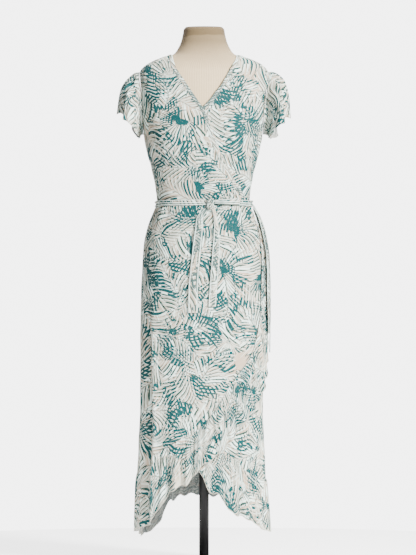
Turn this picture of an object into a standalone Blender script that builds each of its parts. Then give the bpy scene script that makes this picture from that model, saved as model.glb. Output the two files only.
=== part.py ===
"""A maxi wrap dress with flutter sleeves and a ruffled, curved hem, worn by a limbless dress form.

The wearer faces -Y, so +X is the wearer's left. All lengths are metres. Heights in the tables are
measured from the waist seam, up positive, and WAIST_HEIGHT puts them above the floor. Angles go
round the body in degrees: 0 is the front, 90 the wearer's left side, 180 the back and -90 the
wearer's right side.
"""

import math
from collections import namedtuple

import bmesh
import bpy
from mathutils import Vector

NAME = "wrap_dress_on_form"

# Driving sizes
WAIST_HEIGHT = 1.018
CLOTH = 0.0014            # thickness of the cloth wall
SEAM_HALF = 0.00028       # half the parting between two panels that are sewn edge to edge
LAYER = 0.0048            # how far the under front lies inside the wrapping front
ON_TOP = 0.0026           # how far a piece sewn on a panel stands outside it, its own wall included
SQUARENESS = 0.12         # how much fuller than an ellipse the body is between front and side
GIRTH_PER_RADIAN = 0.16   # turns an angle round the body into a length, for slanting folds
BAND_WIDTH = 0.009        # neckline binding
BINDING = 0.0012          # its thickness
STEEP_LIFT = 0.0012       # how much more it stands out where the wrap edge runs slanting
BINDING_LIFT = 0.0021     # and how far its outer face stands outside the panel's
TIE_WIDTH = 0.017
SEAM_ALLOWANCE = 0.004    # how far a panel runs on beneath the ruffle sewn to it

# The dress form: half width, front depth and back depth of each horizontal section
FormRow = namedtuple("FormRow", "height half front back")
FORM = [
    FormRow(-0.283, 0.143, 0.085, 0.100),
    FormRow(-0.270, 0.157, 0.098, 0.113),
    FormRow(-0.218, 0.163, 0.106, 0.121),
    FormRow(-0.178, 0.163, 0.107, 0.122),
    FormRow(-0.118, 0.157, 0.104, 0.116),
    FormRow(-0.058, 0.141, 0.096, 0.101),
    FormRow(0.000, 0.1255, 0.088, 0.086),
    FormRow(0.042, 0.128, 0.092, 0.088),
    FormRow(0.102, 0.140, 0.105, 0.095),
    FormRow(0.152, 0.152, 0.116, 0.100),
    FormRow(0.187, 0.159, 0.120, 0.102),
    FormRow(0.232, 0.165, 0.113, 0.104),
    FormRow(0.282, 0.171, 0.099, 0.104),
    FormRow(0.322, 0.176, 0.084, 0.098),
    FormRow(0.352, 0.179, 0.073, 0.087),
    FormRow(0.372, 0.176, 0.066, 0.078),
    FormRow(0.387, 0.166, 0.062, 0.072),
    FormRow(0.400, 0.145, 0.058, 0.067),
    FormRow(0.412, 0.114, 0.055, 0.064),
    FormRow(0.422, 0.086, 0.053, 0.062),
    FormRow(0.437, 0.074, 0.052, 0.060),
    FormRow(0.457, 0.065, 0.052, 0.057),
    FormRow(0.482, 0.059, 0.053, 0.055),
    FormRow(0.4915, 0.0575, 0.052, 0.054),
    FormRow(0.4985, 0.0515, 0.046, 0.048),
]
BUST_ANGLE, BUST_HEIGHT, BUST_FULLNESS = 33.0, 0.180, 0.013
BUST_SPREAD_ANGLE, BUST_SPREAD_HEIGHT = 21.0, 0.052

# How far the bodice stands off the form
EaseRow = namedtuple("EaseRow", "height side front back")
EASE = [
    EaseRow(0.000, 0.0075, 0.0125, 0.0060),
    EaseRow(0.042, 0.0085, 0.0125, 0.0085),
    EaseRow(0.102, 0.0090, 0.0120, 0.0085),
    EaseRow(0.152, 0.0100, 0.0110, 0.0070),
    EaseRow(0.202, 0.0095, 0.0110, 0.0060),
    EaseRow(0.242, 0.0095, 0.0105, 0.0060),
    EaseRow(0.282, 0.0090, 0.0100, 0.0056),
    EaseRow(0.322, 0.0070, 0.0090, 0.0048),
    EaseRow(0.352, 0.0052, 0.0070, 0.0044),
    EaseRow(0.372, 0.0040, 0.0056, 0.0042),
    EaseRow(0.387, 0.0025, 0.0048, 0.0040),
    EaseRow(0.422, 0.0022, 0.0038, 0.0034),
]

# The skirt's outer sections
SkirtRow = namedtuple("SkirtRow", "height right left front back")
SKIRT = [
    SkirtRow(-0.950, 0.187, 0.187, 0.152, 0.170),
    SkirtRow(-0.863, 0.190, 0.184, 0.150, 0.167),
    SkirtRow(-0.798, 0.190, 0.180, 0.147, 0.163),
    SkirtRow(-0.728, 0.187, 0.177, 0.143, 0.158),
    SkirtRow(-0.668, 0.184, 0.174, 0.139, 0.154),
    SkirtRow(-0.592, 0.181, 0.171, 0.135, 0.150),
    SkirtRow(-0.518, 0.180, 0.171, 0.132, 0.147),
    SkirtRow(-0.418, 0.180, 0.173, 0.129, 0.144),
    SkirtRow(-0.318, 0.179, 0.175, 0.126, 0.141),
    SkirtRow(-0.218, 0.176, 0.1745, 0.123, 0.137),
    SkirtRow(-0.152, 0.173, 0.1725, 0.121, 0.133),
    SkirtRow(-0.118, 0.170, 0.168, 0.119, 0.128),
    SkirtRow(-0.085, 0.164, 0.162, 0.116, 0.120),
    SkirtRow(-0.051, 0.154, 0.153, 0.112, 0.110),
    SkirtRow(-0.018, 0.141, 0.140, 0.106, 0.099),
    SkirtRow(0.000, 0.133, 0.133, 0.1005, 0.092),
]

# Folds that hang down the skirt: where they are at the hem, how they lean, how wide and how deep
HangingFold = namedtuple("HangingFold", "angle lean spread depth starts full")
HANGING_FOLDS = [
    HangingFold(-41, 14, 4.2, 0.0085, -0.200, -0.460),
    HangingFold(-51, 13, 4.8, -0.0140, -0.200, -0.440),
    HangingFold(-68, 7, 7.0, 0.0060, -0.250, -0.560),
    HangingFold(-22, 3, 5.0, 0.0035, -0.360, -0.640),
    HangingFold(-6, 2, 5.5, -0.0030, -0.400, -0.660),
    HangingFold(12, 0, 5.0, 0.0038, -0.360, -0.640),
    HangingFold(27, 0, 5.0, -0.0042, -0.380, -0.660),
    HangingFold(41, 2, 5.0, 0.0042, -0.330, -0.640),
    HangingFold(56, 2, 5.5, -0.0045, -0.300, -0.600),
    HangingFold(73, 0, 6.0, 0.0040, -0.300, -0.600),
    HangingFold(108, 3, 7.0, -0.0075, -0.230, -0.620),
    HangingFold(124, 3, 7.0, 0.0085, -0.200, -0.620),
    HangingFold(142, 2, 7.0, -0.0090, -0.180, -0.620),
    HangingFold(159, 1, 7.0, 0.0085, -0.160, -0.620),
    HangingFold(177, 0, 7.5, -0.0095, -0.150, -0.620),
    HangingFold(196, -1, 7.0, 0.0090, -0.160, -0.620),
    HangingFold(214, -2, 7.0, -0.0085, -0.180, -0.620),
    HangingFold(232, -3, 7.0, 0.0080, -0.200, -0.620),
    HangingFold(249, -3, 6.5, -0.0075, -0.230, -0.620),
]

# Drag lines across the bodice, from one end to the other
DragLine = namedtuple("DragLine", "angle_a height_a angle_b height_b spread depth")
DRAG_LINES = [
    DragLine(-34, 0.150, 52, 0.028, 0.017, 0.0040),
    DragLine(-70, 0.090, -6, 0.026, 0.016, 0.0034),
    DragLine(24, 0.180, 66, 0.080, 0.016, 0.0030),
    DragLine(-62, 0.215, -40, 0.300, 0.016, 0.0026),
    DragLine(60, 0.215, 42, 0.300, 0.016, 0.0026),
    DragLine(112, 0.040, 165, 0.105, 0.018, 0.0036),
    DragLine(248, 0.040, 195, 0.105, 0.018, 0.0036),
]

# Edges of the two bodice fronts as seen from the front: height and sideways place
EdgeRow = namedtuple("EdgeRow", "height x")
WRAP_EDGE = [
    EdgeRow(0.000, 0.1285),
    EdgeRow(0.034, 0.106),
    EdgeRow(0.085, 0.074),
    EdgeRow(0.138, 0.048),
    EdgeRow(0.192, 0.024),
    EdgeRow(0.242, 0.0075),
    EdgeRow(0.267, -0.0045),
    EdgeRow(0.285, -0.0180),
    EdgeRow(0.313, -0.0365),
    EdgeRow(0.342, -0.0550),
    EdgeRow(0.365, -0.0705),
    EdgeRow(0.390, -0.0830),
    EdgeRow(0.416, -0.0900),
]
UNDER_EDGE = [
    EdgeRow(0.000, -0.108),
    EdgeRow(0.034, -0.096),
    EdgeRow(0.085, -0.074),
    EdgeRow(0.138, -0.048),
    EdgeRow(0.192, -0.024),
    EdgeRow(0.248, -0.0120),
    EdgeRow(0.2665, -0.0038),
    EdgeRow(0.2825, 0.0122),
    EdgeRow(0.306, 0.0305),
    EdgeRow(0.326, 0.0470),
    EdgeRow(0.351, 0.0610),
    EdgeRow(0.379, 0.0750),
    EdgeRow(0.402, 0.0890),
    EdgeRow(0.416, 0.0930),
]
SHOULDER_NECK = 0.416     # where the shoulder seam meets the neckline
BACK_NECK_DROP = 0.007

ARMHOLE_MIDDLE, ARMHOLE_HALF, ARMHOLE_ANGLE = 0.2835, 0.0865, 18.0

# The wrapping front's ruffle: the seam it is gathered into and its free edge, from the right side
# seam along the hem, round the corner and up to the waist
RuffleRow = namedtuple("RuffleRow", "seam_angle seam_height hem_angle hem_height")
WRAP_RUFFLE = [
    RuffleRow(-90, -0.778, -90, -0.915),
    RuffleRow(-77, -0.764, -77, -0.918),
    RuffleRow(-64, -0.748, -63, -0.908),
    RuffleRow(-53, -0.726, -50, -0.899),
    RuffleRow(-46, -0.709, -44, -0.890),
    RuffleRow(-38, -0.693, -37, -0.858),
    RuffleRow(-31, -0.679, -30, -0.828),
    RuffleRow(-25, -0.668, -24, -0.800),
    RuffleRow(-12, -0.648, -12, -0.780),
    RuffleRow(-2, -0.622, -3, -0.738),
    RuffleRow(6, -0.592, 9, -0.707),
    RuffleRow(14, -0.552, 20, -0.674),
    RuffleRow(22, -0.512, 31, -0.622),
    RuffleRow(30, -0.478, 41, -0.590),
    RuffleRow(39, -0.447, 52, -0.564),
    RuffleRow(48, -0.413, 63, -0.533),
    RuffleRow(55, -0.363, 74, -0.478),
    RuffleRow(60, -0.298, 84, -0.408),
    RuffleRow(63, -0.218, 91, -0.328),
    RuffleRow(66, -0.138, 94, -0.228),
    RuffleRow(70, -0.068, 93, -0.138),
    RuffleRow(74, -0.024, 87, -0.070),
    RuffleRow(76, -0.011, 81, -0.034),
]
UNDER_RUFFLE = [
    RuffleRow(-4, -0.622, -4, -0.745),
    RuffleRow(0, -0.645, 0, -0.768),
    RuffleRow(3, -0.657, 3, -0.796),
    RuffleRow(7, -0.672, 7, -0.811),
    RuffleRow(11, -0.680, 11, -0.806),
    RuffleRow(15, -0.686, 15, -0.830),
    RuffleRow(20, -0.697, 20, -0.854),
    RuffleRow(25, -0.710, 25, -0.866),
    RuffleRow(33, -0.736, 33, -0.876),
    RuffleRow(42, -0.755, 42, -0.890),
    RuffleRow(53, -0.767, 53, -0.906),
    RuffleRow(68, -0.777, 68, -0.918),
    RuffleRow(90, -0.780, 90, -0.914),
]
BACK_RUFFLE = [
    RuffleRow(90, -0.780, 90, -0.914),
    RuffleRow(115, -0.765, 115, -0.902),
    RuffleRow(145, -0.735, 145, -0.862),
    RuffleRow(168, -0.722, 168, -0.835),
    RuffleRow(180, -0.720, 180, -0.828),
    RuffleRow(194, -0.724, 194, -0.832),
    RuffleRow(205, -0.730, 205, -0.846),
    RuffleRow(212, -0.735, 211, -0.862),
    RuffleRow(218, -0.740, 217, -0.905),
    RuffleRow(226, -0.747, 226, -0.930),
    RuffleRow(238, -0.757, 239, -0.940),
    RuffleRow(250, -0.767, 250, -0.932),
    RuffleRow(262, -0.776, 262, -0.922),
    RuffleRow(270, -0.778, 270, -0.915),
]
# The under front's own edge, where it runs up beneath the wrapping front
UNDER_SEAM = [(-46, -0.413), (-39, -0.453), (-30, -0.483), (-22, -0.518), (-14, -0.558), (-8, -0.594)]

Waves = namedtuple("Waves", "count swing flare unevenness")
SIDE_CALM = 0.68           # how much flatter the ruffles lie at the sides
WRAP_WAVES = Waves(24, 0.0056, 0.0090, 0.0045)
UNDER_WAVES = Waves(10, 0.0062, 0.0090, 0.004)
BACK_WAVES = Waves(16, 0.0075, 0.0090, 0.007)

# Flutter sleeves, by side: -1 is the wearer's right
Sleeve = namedtuple("Sleeve", "side top_x top_height under_x under_height reach crest_x crest_height lobe")
SLEEVES = [
    Sleeve(-1, 0.2365, 0.258, 0.1795, 0.186, 0.084, 0.232, 0.371, 0.006),
    Sleeve(1, 0.2345, 0.246, 0.1815, 0.186, 0.086, 0.238, 0.384, 0.021),
]
LOBE_TURN, LOBE_SPREAD = 1.24 * math.pi, 0.50   # where the hem swings out at the back, and how far round
SLEEVE_WAVES, SLEEVE_SWING, SLEEVE_CLEAR = 6, 0.0055, -0.0001

# Ties: centre line as seen from the front, with the width of the strip
TieRow = namedtuple("TieRow", "x height width")
RIGHT_TAIL = [
    TieRow(0.0118, -0.0086, 0.0090),
    TieRow(0.0040, -0.020, 0.0140),
    TieRow(-0.0105, -0.040, 0.0200),
    TieRow(-0.0140, -0.076, 0.0230),
    TieRow(-0.0210, -0.138, 0.0250),
    TieRow(-0.0285, -0.220, 0.0270),
    TieRow(-0.0305, -0.306, 0.0280),
]
LEFT_TAIL = [
    TieRow(0.0240, -0.0086, 0.0090),
    TieRow(0.0275, -0.020, 0.0090),
    TieRow(0.0310, -0.040, 0.0095),
    TieRow(0.0345, -0.076, 0.0140),
    TieRow(0.0335, -0.132, 0.0220),
    TieRow(0.0285, -0.200, 0.0225),
    TieRow(0.0227, -0.288, 0.0215),
]
# Side ties: angle round the body instead of the sideways place
SideTieRow = namedtuple("SideTieRow", "angle height width stand_off")
SIDE_TIE_FRONT = [
    SideTieRow(78, -0.0030, 0.016, 0.0058),
    SideTieRow(76, -0.040, 0.018, 0.0100),
    SideTieRow(74, -0.100, 0.021, 0.0120),
    SideTieRow(75, -0.190, 0.023, 0.0125),
    SideTieRow(76, -0.290, 0.024, 0.0130),
    SideTieRow(77, -0.364, 0.024, 0.0135),
]
SIDE_TIE_BACK = [
    SideTieRow(92, -0.0030, 0.016, 0.0058),
    SideTieRow(91, -0.040, 0.018, 0.0100),
    SideTieRow(90, -0.100, 0.021, 0.0120),
    SideTieRow(90, -0.210, 0.023, 0.0125),
    SideTieRow(90, -0.330, 0.024, 0.0125),
    SideTieRow(90, -0.418, 0.024, 0.0125),
]

BELT_HEIGHT, BELT_STAND_OFF, TAIL_TOP_STAND_OFF = 0.0015, 0.0052, 0.0028
KNOT_X, KNOT_HEIGHT, KNOT_SIZE, KNOT_CLEAR = 0.0190, -0.001, (0.0240, 0.0150, 0.0330), 0.0006
# The bow's loop in plan: how far along from the knot and how far in front of the belt
LoopRow = namedtuple("LoopRow", "along forward")
LOOP_PATH = [
    LoopRow(0.000, 0.0030),
    LoopRow(0.012, 0.0026),
    LoopRow(0.030, 0.0022),
    LoopRow(0.048, 0.0022),
    LoopRow(0.060, 0.0026),
    LoopRow(0.0655, 0.0042),
    LoopRow(0.0675, 0.0068),
    LoopRow(0.0655, 0.0094),
    LoopRow(0.060, 0.0110),
    LoopRow(0.048, 0.0118),
    LoopRow(0.030, 0.0112),
    LoopRow(0.012, 0.0086),
    LoopRow(0.000, 0.0066),
]

POLE_RADIUS = 0.014
BASE_RADIUS, BASE_RIM, BASE_DOME = 0.190, 0.010, 0.024


# Interpolation and placing

def smooth(t):
    """Eases from 0 to 1."""
    t = min(1.0, max(0.0, t))
    return t * t * (3 - 2 * t)


def column(rows, key, value, wanted):
    """The wanted column of a table, read at a value of the key column along a monotone curve."""
    if getattr(rows[0], key) > getattr(rows[-1], key):
        rows = rows[::-1]
    xs = [getattr(row, key) for row in rows]
    ys = [getattr(row, wanted) for row in rows]
    value = min(xs[-1], max(xs[0], value))
    i = next(n for n in range(len(xs) - 1) if value <= xs[n + 1])
    steps = [(ys[n + 1] - ys[n]) / (xs[n + 1] - xs[n]) for n in range(len(xs) - 1)]

    def slope(n):
        if n in (0, len(xs) - 1):
            return steps[min(n, len(steps) - 1)]
        before, after = steps[n - 1], steps[n]
        return 0.0 if before * after <= 0 else 2 * before * after / (before + after)

    h = xs[i + 1] - xs[i]
    t = (value - xs[i]) / h
    return (
        ys[i] * (1 + 2 * t) * (1 - t) ** 2
        + slope(i) * h * t * (1 - t) ** 2
        + ys[i + 1] * t * t * (3 - 2 * t)
        + slope(i + 1) * h * t * t * (t - 1)
    )


def ring_point(angle, height, half, front_back):
    """A point of a horizontal section that is a little fuller than an ellipse."""
    a = math.radians(angle)
    s, c = math.sin(a), math.cos(a)
    x = half * s * (1 + SQUARENESS * c * c)
    y = -front_back * c * (1 + SQUARENESS * s * s)
    return Vector((x, y, WAIST_HEIGHT + height))


def turned(angle):
    """The angle brought between -180 and 180."""
    return (angle + 180) % 360 - 180


def form_point(angle, height):
    half = column(FORM, "height", height, "half")
    depth = column(FORM, "height", height, "front" if abs(turned(angle)) < 90 else "back")
    point = ring_point(angle, height, half, depth)
    lift = math.exp(-(((height - BUST_HEIGHT) / BUST_SPREAD_HEIGHT) ** 2)) * BUST_FULLNESS
    for side in (-1, 1):
        away = (turned(angle) - side * BUST_ANGLE) / BUST_SPREAD_ANGLE
        bump = lift * math.exp(-away * away)
        point += Vector((math.sin(math.radians(angle)), -math.cos(math.radians(angle)), 0)) * bump
    return point


def skirt_base(angle, height):
    half = column(SKIRT, "height", height, "left" if math.sin(math.radians(angle)) > 0 else "right")
    depth = column(SKIRT, "height", height, "front" if abs(turned(angle)) < 90 else "back")
    return ring_point(angle, height, half, depth)


def normal_at(surface, angle, height):
    """The outward direction of a surface. It lies level at the waist seam, so both edges meet there."""
    d_angle, d_height = 1.0, 0.003
    across = surface(angle + d_angle, height) - surface(angle - d_angle, height)
    up = surface(angle, height + d_height) - surface(angle, height - d_height)
    normal = across.cross(up).normalized()
    normal.z *= smooth(abs(height) / 0.05)
    return normal.normalized()


def hanging(angle, height):
    total = 0.0
    for fold in HANGING_FOLDS:
        grown = smooth((fold.starts - height) / (fold.starts - fold.full))
        place = fold.angle - fold.lean * (height + 0.9)
        away = turned(angle - place) / fold.spread
        total += fold.depth * grown * math.exp(-away * away)
    return total


def dragging(angle, height):
    total = 0.0
    for line in DRAG_LINES:
        around = angle % 360 if line.angle_a > 90 else turned(angle)
        here = Vector((math.radians(around) * GIRTH_PER_RADIAN, height))
        a = Vector((math.radians(line.angle_a) * GIRTH_PER_RADIAN, line.height_a))
        b = Vector((math.radians(line.angle_b) * GIRTH_PER_RADIAN, line.height_b))
        along = (here - a).dot(b - a) / (b - a).length_squared
        inside = min(1.0, max(0.0, along))
        away = (here - a.lerp(b, inside)).length / line.spread
        total += line.depth * math.sin(math.pi * inside) ** 0.7 * math.exp(-away * away)
    return total


def on_bodice(angle, height, layer=0.0):
    around = math.radians(angle)
    depth = "front" if math.cos(around) > 0 else "back"
    side_share = math.sin(around) ** 2
    ease = side_share * column(EASE, "height", height, "side")
    ease += (1 - side_share) * column(EASE, "height", height, depth)
    fade = smooth(height / 0.03)
    out = ease + layer + fade * dragging(angle, height)
    return form_point(angle, height) + normal_at(form_point, angle, height) * out


def on_skirt(angle, height, layer=0.0):
    out = layer + hanging(angle, height)
    return skirt_base(angle, height) + normal_at(skirt_base, angle, height) * out


def level(height):
    return 0.0


def under_layer(height):
    """The under front sinks inside the wrapping front below the V."""
    return -LAYER * (1 - smooth((height - 0.284) / 0.042))


def back_layer(angle, height):
    """The back meets the under front at the wearer's left side and the wrapping front at the right."""
    return under_layer(height) * (1 - smooth((angle - 90) / 55))


def angle_at(x, height, surface):
    """The angle on the front half at which the surface has this sideways place."""
    low, high = -89.0, 89.0
    for _ in range(28):
        middle = (low + high) / 2
        if surface(middle, height).x < x:
            low = middle
        else:
            high = middle
    return (low + high) / 2


def armhole_cut(height):
    """How far the armhole cuts into the front or back at this height, in degrees."""
    t = (height - ARMHOLE_MIDDLE) / ARMHOLE_HALF
    return ARMHOLE_ANGLE * math.sqrt(max(0.0, 1 - t * t))


def seam_gap(half_width):
    """Half the parting of a seam at the side, as an angle."""
    return math.degrees(SEAM_HALF / half_width)


# Making objects

def new_material(name, colour, roughness):
    material = bpy.data.materials.new(name)
    material.use_nodes = True
    shader = material.node_tree.nodes["Principled BSDF"]
    shader.inputs["Base Color"].default_value = (*colour, 1)
    shader.inputs["Roughness"].default_value = roughness
    shader.inputs["Metallic"].default_value = 0.0
    return material


def finished(name, bm, material, thickness=0.0):
    """Turns the bmesh into a named, smooth-shaded object, with a wall if a thickness is given."""
    mesh = bpy.data.meshes.new(name)
    bm.to_mesh(mesh)
    bm.free()
    mesh.shade_smooth()
    mesh.materials.append(material)
    obj = bpy.data.objects.new(name, mesh)
    bpy.data.collections[NAME].objects.link(obj)
    if thickness:
        wall = obj.modifiers.new("cloth wall", "SOLIDIFY")
        wall.thickness = thickness
        wall.offset = -1
    return obj


def cloth(name, columns, rows, place, material, thickness=CLOTH, closed=False):
    """A sheet of cloth: a grid whose column and row numbers are placed on the body."""
    bm = bmesh.new()
    bmesh.ops.create_grid(bm, x_segments=columns, y_segments=rows, size=1)
    for vert in bm.verts:
        i = round((vert.co.x + 1) / 2 * columns)
        j = round((vert.co.y + 1) / 2 * rows)
        vert.co = place(i, j)
    if closed:
        bmesh.ops.remove_doubles(bm, verts=bm.verts, dist=1e-5)
    return finished(name, bm, material, thickness)


def steps(start, end, most):
    """Values from start to end, no further apart than most."""
    count = max(1, math.ceil(abs(end - start) / most))
    return [start + (end - start) * n / count for n in range(count + 1)]


# The dress form and its stand

def make_form(linen):
    heights = sorted([row.height for row in FORM] + [0.362, 0.380, 0.394, 0.406])
    around = 32
    bm = bmesh.new()
    bmesh.ops.create_grid(bm, x_segments=around, y_segments=len(heights) - 1, size=1)
    for vert in bm.verts:
        i = round((vert.co.x + 1) / 2 * around)
        j = round((vert.co.y + 1) / 2 * (len(heights) - 1))
        vert.co = form_point(-180 + 360 * i / around, heights[j])
    bmesh.ops.remove_doubles(bm, verts=bm.verts, dist=1e-5)
    bmesh.ops.holes_fill(bm, edges=[edge for edge in bm.edges if edge.is_boundary], sides=0)
    bmesh.ops.recalc_face_normals(bm, faces=bm.faces)
    return finished("form_torso", bm, linen)


def make_stand(black):
    pole_top = WAIST_HEIGHT + FORM[0].height - 0.0003
    pole_bottom = BASE_DOME + 0.0003
    bm = bmesh.new()
    bmesh.ops.create_cone(
        bm, cap_ends=True, segments=24, radius1=POLE_RADIUS, radius2=POLE_RADIUS, depth=pole_top - pole_bottom
    )
    bmesh.ops.translate(bm, verts=bm.verts, vec=(0, 0, (pole_top + pole_bottom) / 2))
    pole = finished("stand_pole", bm, black)
    pole.data.set_sharp_from_angle(angle=math.radians(40))

    profile = [(0.0, BASE_DOME), (0.030, BASE_DOME), (0.060, 0.019), (0.130, 0.0145), (BASE_RADIUS - 0.004, BASE_RIM)]
    profile += [(BASE_RADIUS, BASE_RIM - 0.004), (BASE_RADIUS, 0.0), (0.0, 0.0)]
    mesh = bpy.data.meshes.new("stand_base")
    outline = bmesh.new()
    verts = [outline.verts.new((x, 0, z)) for x, z in reversed(profile)]
    for a, b in zip(verts, verts[1:]):
        outline.edges.new((b, a))
    outline.to_mesh(mesh)
    outline.free()
    mesh.materials.append(black)
    base = bpy.data.objects.new("stand_base", mesh)
    bpy.data.collections[NAME].objects.link(base)
    spin = base.modifiers.new("turned", "SCREW")
    spin.steps = spin.render_steps = 40
    spin.use_merge_vertices = True
    spin.merge_threshold = 0.0001
    spin.use_normal_calculate = True
    return base


# The bodice

FRONT_HEIGHTS = [0.0, 0.026, 0.052, 0.080, 0.108, 0.136, 0.162, 0.187, 0.200, 0.222, 0.250, 0.278, 0.306]
FRONT_HEIGHTS += [0.330, 0.352, 0.366, 0.376, 0.387, 0.400, 0.410, 0.416]
BACK_HEIGHTS = [0.0, 0.030, 0.065, 0.100, 0.140, 0.187, 0.200, 0.225, 0.262, 0.300, 0.335, 0.358, 0.376, 0.387]
BACK_HEIGHTS += [0.400, 0.410, 0.416]
BODICE_COLUMNS = 12
BACK_COLUMNS = 16


def raised(height):
    """Keeps the lowest row of the bodice just above the waist seam."""
    return max(height, SEAM_HALF)


def front_range(edge, height, side):
    """The two ends, in degrees, of a bodice front at this height: outer edge, then neckline or wrap edge."""
    outer = side * (90 - armhole_cut(height) - seam_gap(0.08))
    x = column(edge, "height", height, "x")
    return outer, angle_at(x, height, on_bodice)


def front_place(edge, side, layer_of):
    """Places a bodice front: column 0 is at the wearer's right, the last row is the shoulder."""

    def place(i, j):
        height = raised(FRONT_HEIGHTS[j])
        outer, inner = front_range(edge, height, side)
        if side > 0:
            outer, inner = inner, outer
        return on_bodice(outer + (inner - outer) * i / BODICE_COLUMNS, height, layer_of(height))

    return place


def back_place(i, j):
    height = raised(BACK_HEIGHTS[j])
    first = 90 + armhole_cut(height) + seam_gap(0.08)
    angle = first + (360 - 2 * first) * i / BACK_COLUMNS
    dip = BACK_NECK_DROP * smooth((height - 0.36) / 0.056) * math.sin(math.radians(angle - 90)) ** 2
    return on_bodice(angle, height - dip, back_layer(angle, height))


def make_bodice(print_cloth):
    rows = len(FRONT_HEIGHTS) - 1
    cloth("bodice_front_right", BODICE_COLUMNS, rows, front_place(WRAP_EDGE, -1, level), print_cloth)
    cloth("bodice_front_left", BODICE_COLUMNS, rows, front_place(UNDER_EDGE, 1, under_layer), print_cloth)
    cloth("bodice_back", BACK_COLUMNS, len(BACK_HEIGHTS) - 1, back_place, print_cloth)


def outside(panel, i, j, share_i, share_j, distance):
    """A point between a panel's own points, moved out by a distance: what lies on a panel follows it."""
    here, next_i, next_j = panel(i, j), panel(i + (1 if share_i >= 0 else -1), j), panel(i, j + (1 if share_j >= 0 else -1))
    across = (next_i - here) * (1 if share_i >= 0 else -1)
    up = (next_j - here) * (1 if share_j >= 0 else -1)
    out = across.cross(up).normalized()
    return here + (next_i - here) * abs(share_i) + (next_j - here) * abs(share_j) + out * distance


def make_neck_binding(print_cloth):
    """A narrow binding on each neck edge, made from the panel's own points, moved out."""
    last = len(FRONT_HEIGHTS) - 1

    def front(panel, side, first):
        edge_column = BODICE_COLUMNS if side < 0 else 0

        def place(i, j):
            row = first + j
            here = panel(edge_column, row)
            inner = panel(edge_column + side, row)
            share = (1 - i if side < 0 else i) * BAND_WIDTH * 1.15 / (inner - here).length
            back_row = -1e-9 if row == last else 1e-9
            distance = BINDING_LIFT + (STEEP_LIFT if FRONT_HEIGHTS[row] < 0.12 else 0.0)
            lift = outside(panel, edge_column, row, 0.0 if side > 0 else -1e-9, back_row, distance)
            return lift + (inner - here) * share

        return place

    wrap_first, under_first = 1, FRONT_HEIGHTS.index(0.250)
    place = front(front_place(WRAP_EDGE, -1, level), -1, wrap_first)
    cloth("neck_binding_right", 1, last - wrap_first, place, print_cloth, thickness=BINDING)
    place = front(front_place(UNDER_EDGE, 1, under_layer), 1, under_first)
    cloth("neck_binding_left", 1, last - under_first, place, print_cloth, thickness=BINDING)

    top = len(BACK_HEIGHTS) - 1

    def back(i, j):
        lift = outside(back_place, i, top, 1e-9 if i < BACK_COLUMNS else -1e-9, -1e-9, BINDING_LIFT - 0.0002)
        down = back_place(i, top - 1) - back_place(i, top)
        return lift + down * (1 - j) * min(0.95, BAND_WIDTH * 0.8 / down.length)

    cloth("neck_binding_back", BACK_COLUMNS, 1, back, print_cloth, thickness=BINDING)


def make_sleeve(sleeve, name, print_cloth):
    """A flutter sleeve: a short tube from the armhole to a wavy hem that hangs out and down."""
    around, rows = 36, 4
    top = Vector((sleeve.top_x, 0, sleeve.top_height))
    under = Vector((sleeve.under_x, 0, sleeve.under_height))
    crest = Vector((sleeve.crest_x, 0, sleeve.crest_height))
    tuck = Vector((sleeve.under_x - 0.001, 0, sleeve.under_height + 0.012))

    def oval(high, low, reach, turn):
        middle, half = (high + low) / 2, (high - low) / 2
        return middle + half * math.cos(turn) + Vector((0, -reach * math.sin(turn), 0))

    def place(i, j):
        turn = 2 * math.pi * (i % around) / around
        height = ARMHOLE_MIDDLE + (ARMHOLE_HALF + 0.0006) * math.cos(turn)
        angle = sleeve.side * (90 - (ARMHOLE_ANGLE + 0.4) * math.sin(turn))
        panel = 0.0 if sleeve.side < 0 else back_layer(angle, height)
        layer = panel + CLOTH + SLEEVE_CLEAR
        seam = on_bodice(angle, height, layer)
        w = j / rows
        wave = math.sin(SLEEVE_WAVES * turn + 0.7 + 0.5 * math.sin(2 * turn))
        open_share = 0.25 + 0.75 * math.sin(turn / 2 + math.pi / 2) ** 2
        swing = SLEEVE_SWING * w * w * wave * open_share
        control = oval(crest, tuck, sleeve.reach * 0.72, turn)
        hem = oval(top, under, sleeve.reach, turn)
        control.x, hem.x = sleeve.side * control.x, sleeve.side * hem.x
        control.z, hem.z = control.z + WAIST_HEIGHT, hem.z + WAIST_HEIGHT
        point = seam * (1 - w) ** 2 + control * (2 * w * (1 - w)) + hem * w * w
        outward = Vector((sleeve.side * (0.55 + 0.45 * math.cos(turn)), -math.sin(turn), 0)).normalized()
        lobe = sleeve.lobe * w * w * math.exp(-(((turn - LOBE_TURN) / LOBE_SPREAD) ** 2))
        return point + outward * swing + Vector((sleeve.side * lobe, 0, -abs(swing) * 0.5))

    # Columns run so that the cloth's outer face looks outwards on either side
    def facing(i, j):
        return place(around - i if sleeve.side < 0 else i, rows - j)

    cloth(name, around, rows, facing, print_cloth, closed=True)


# The skirt

def seam_height(table, angle):
    return column(table, "seam_angle", angle, "seam_height")


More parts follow.
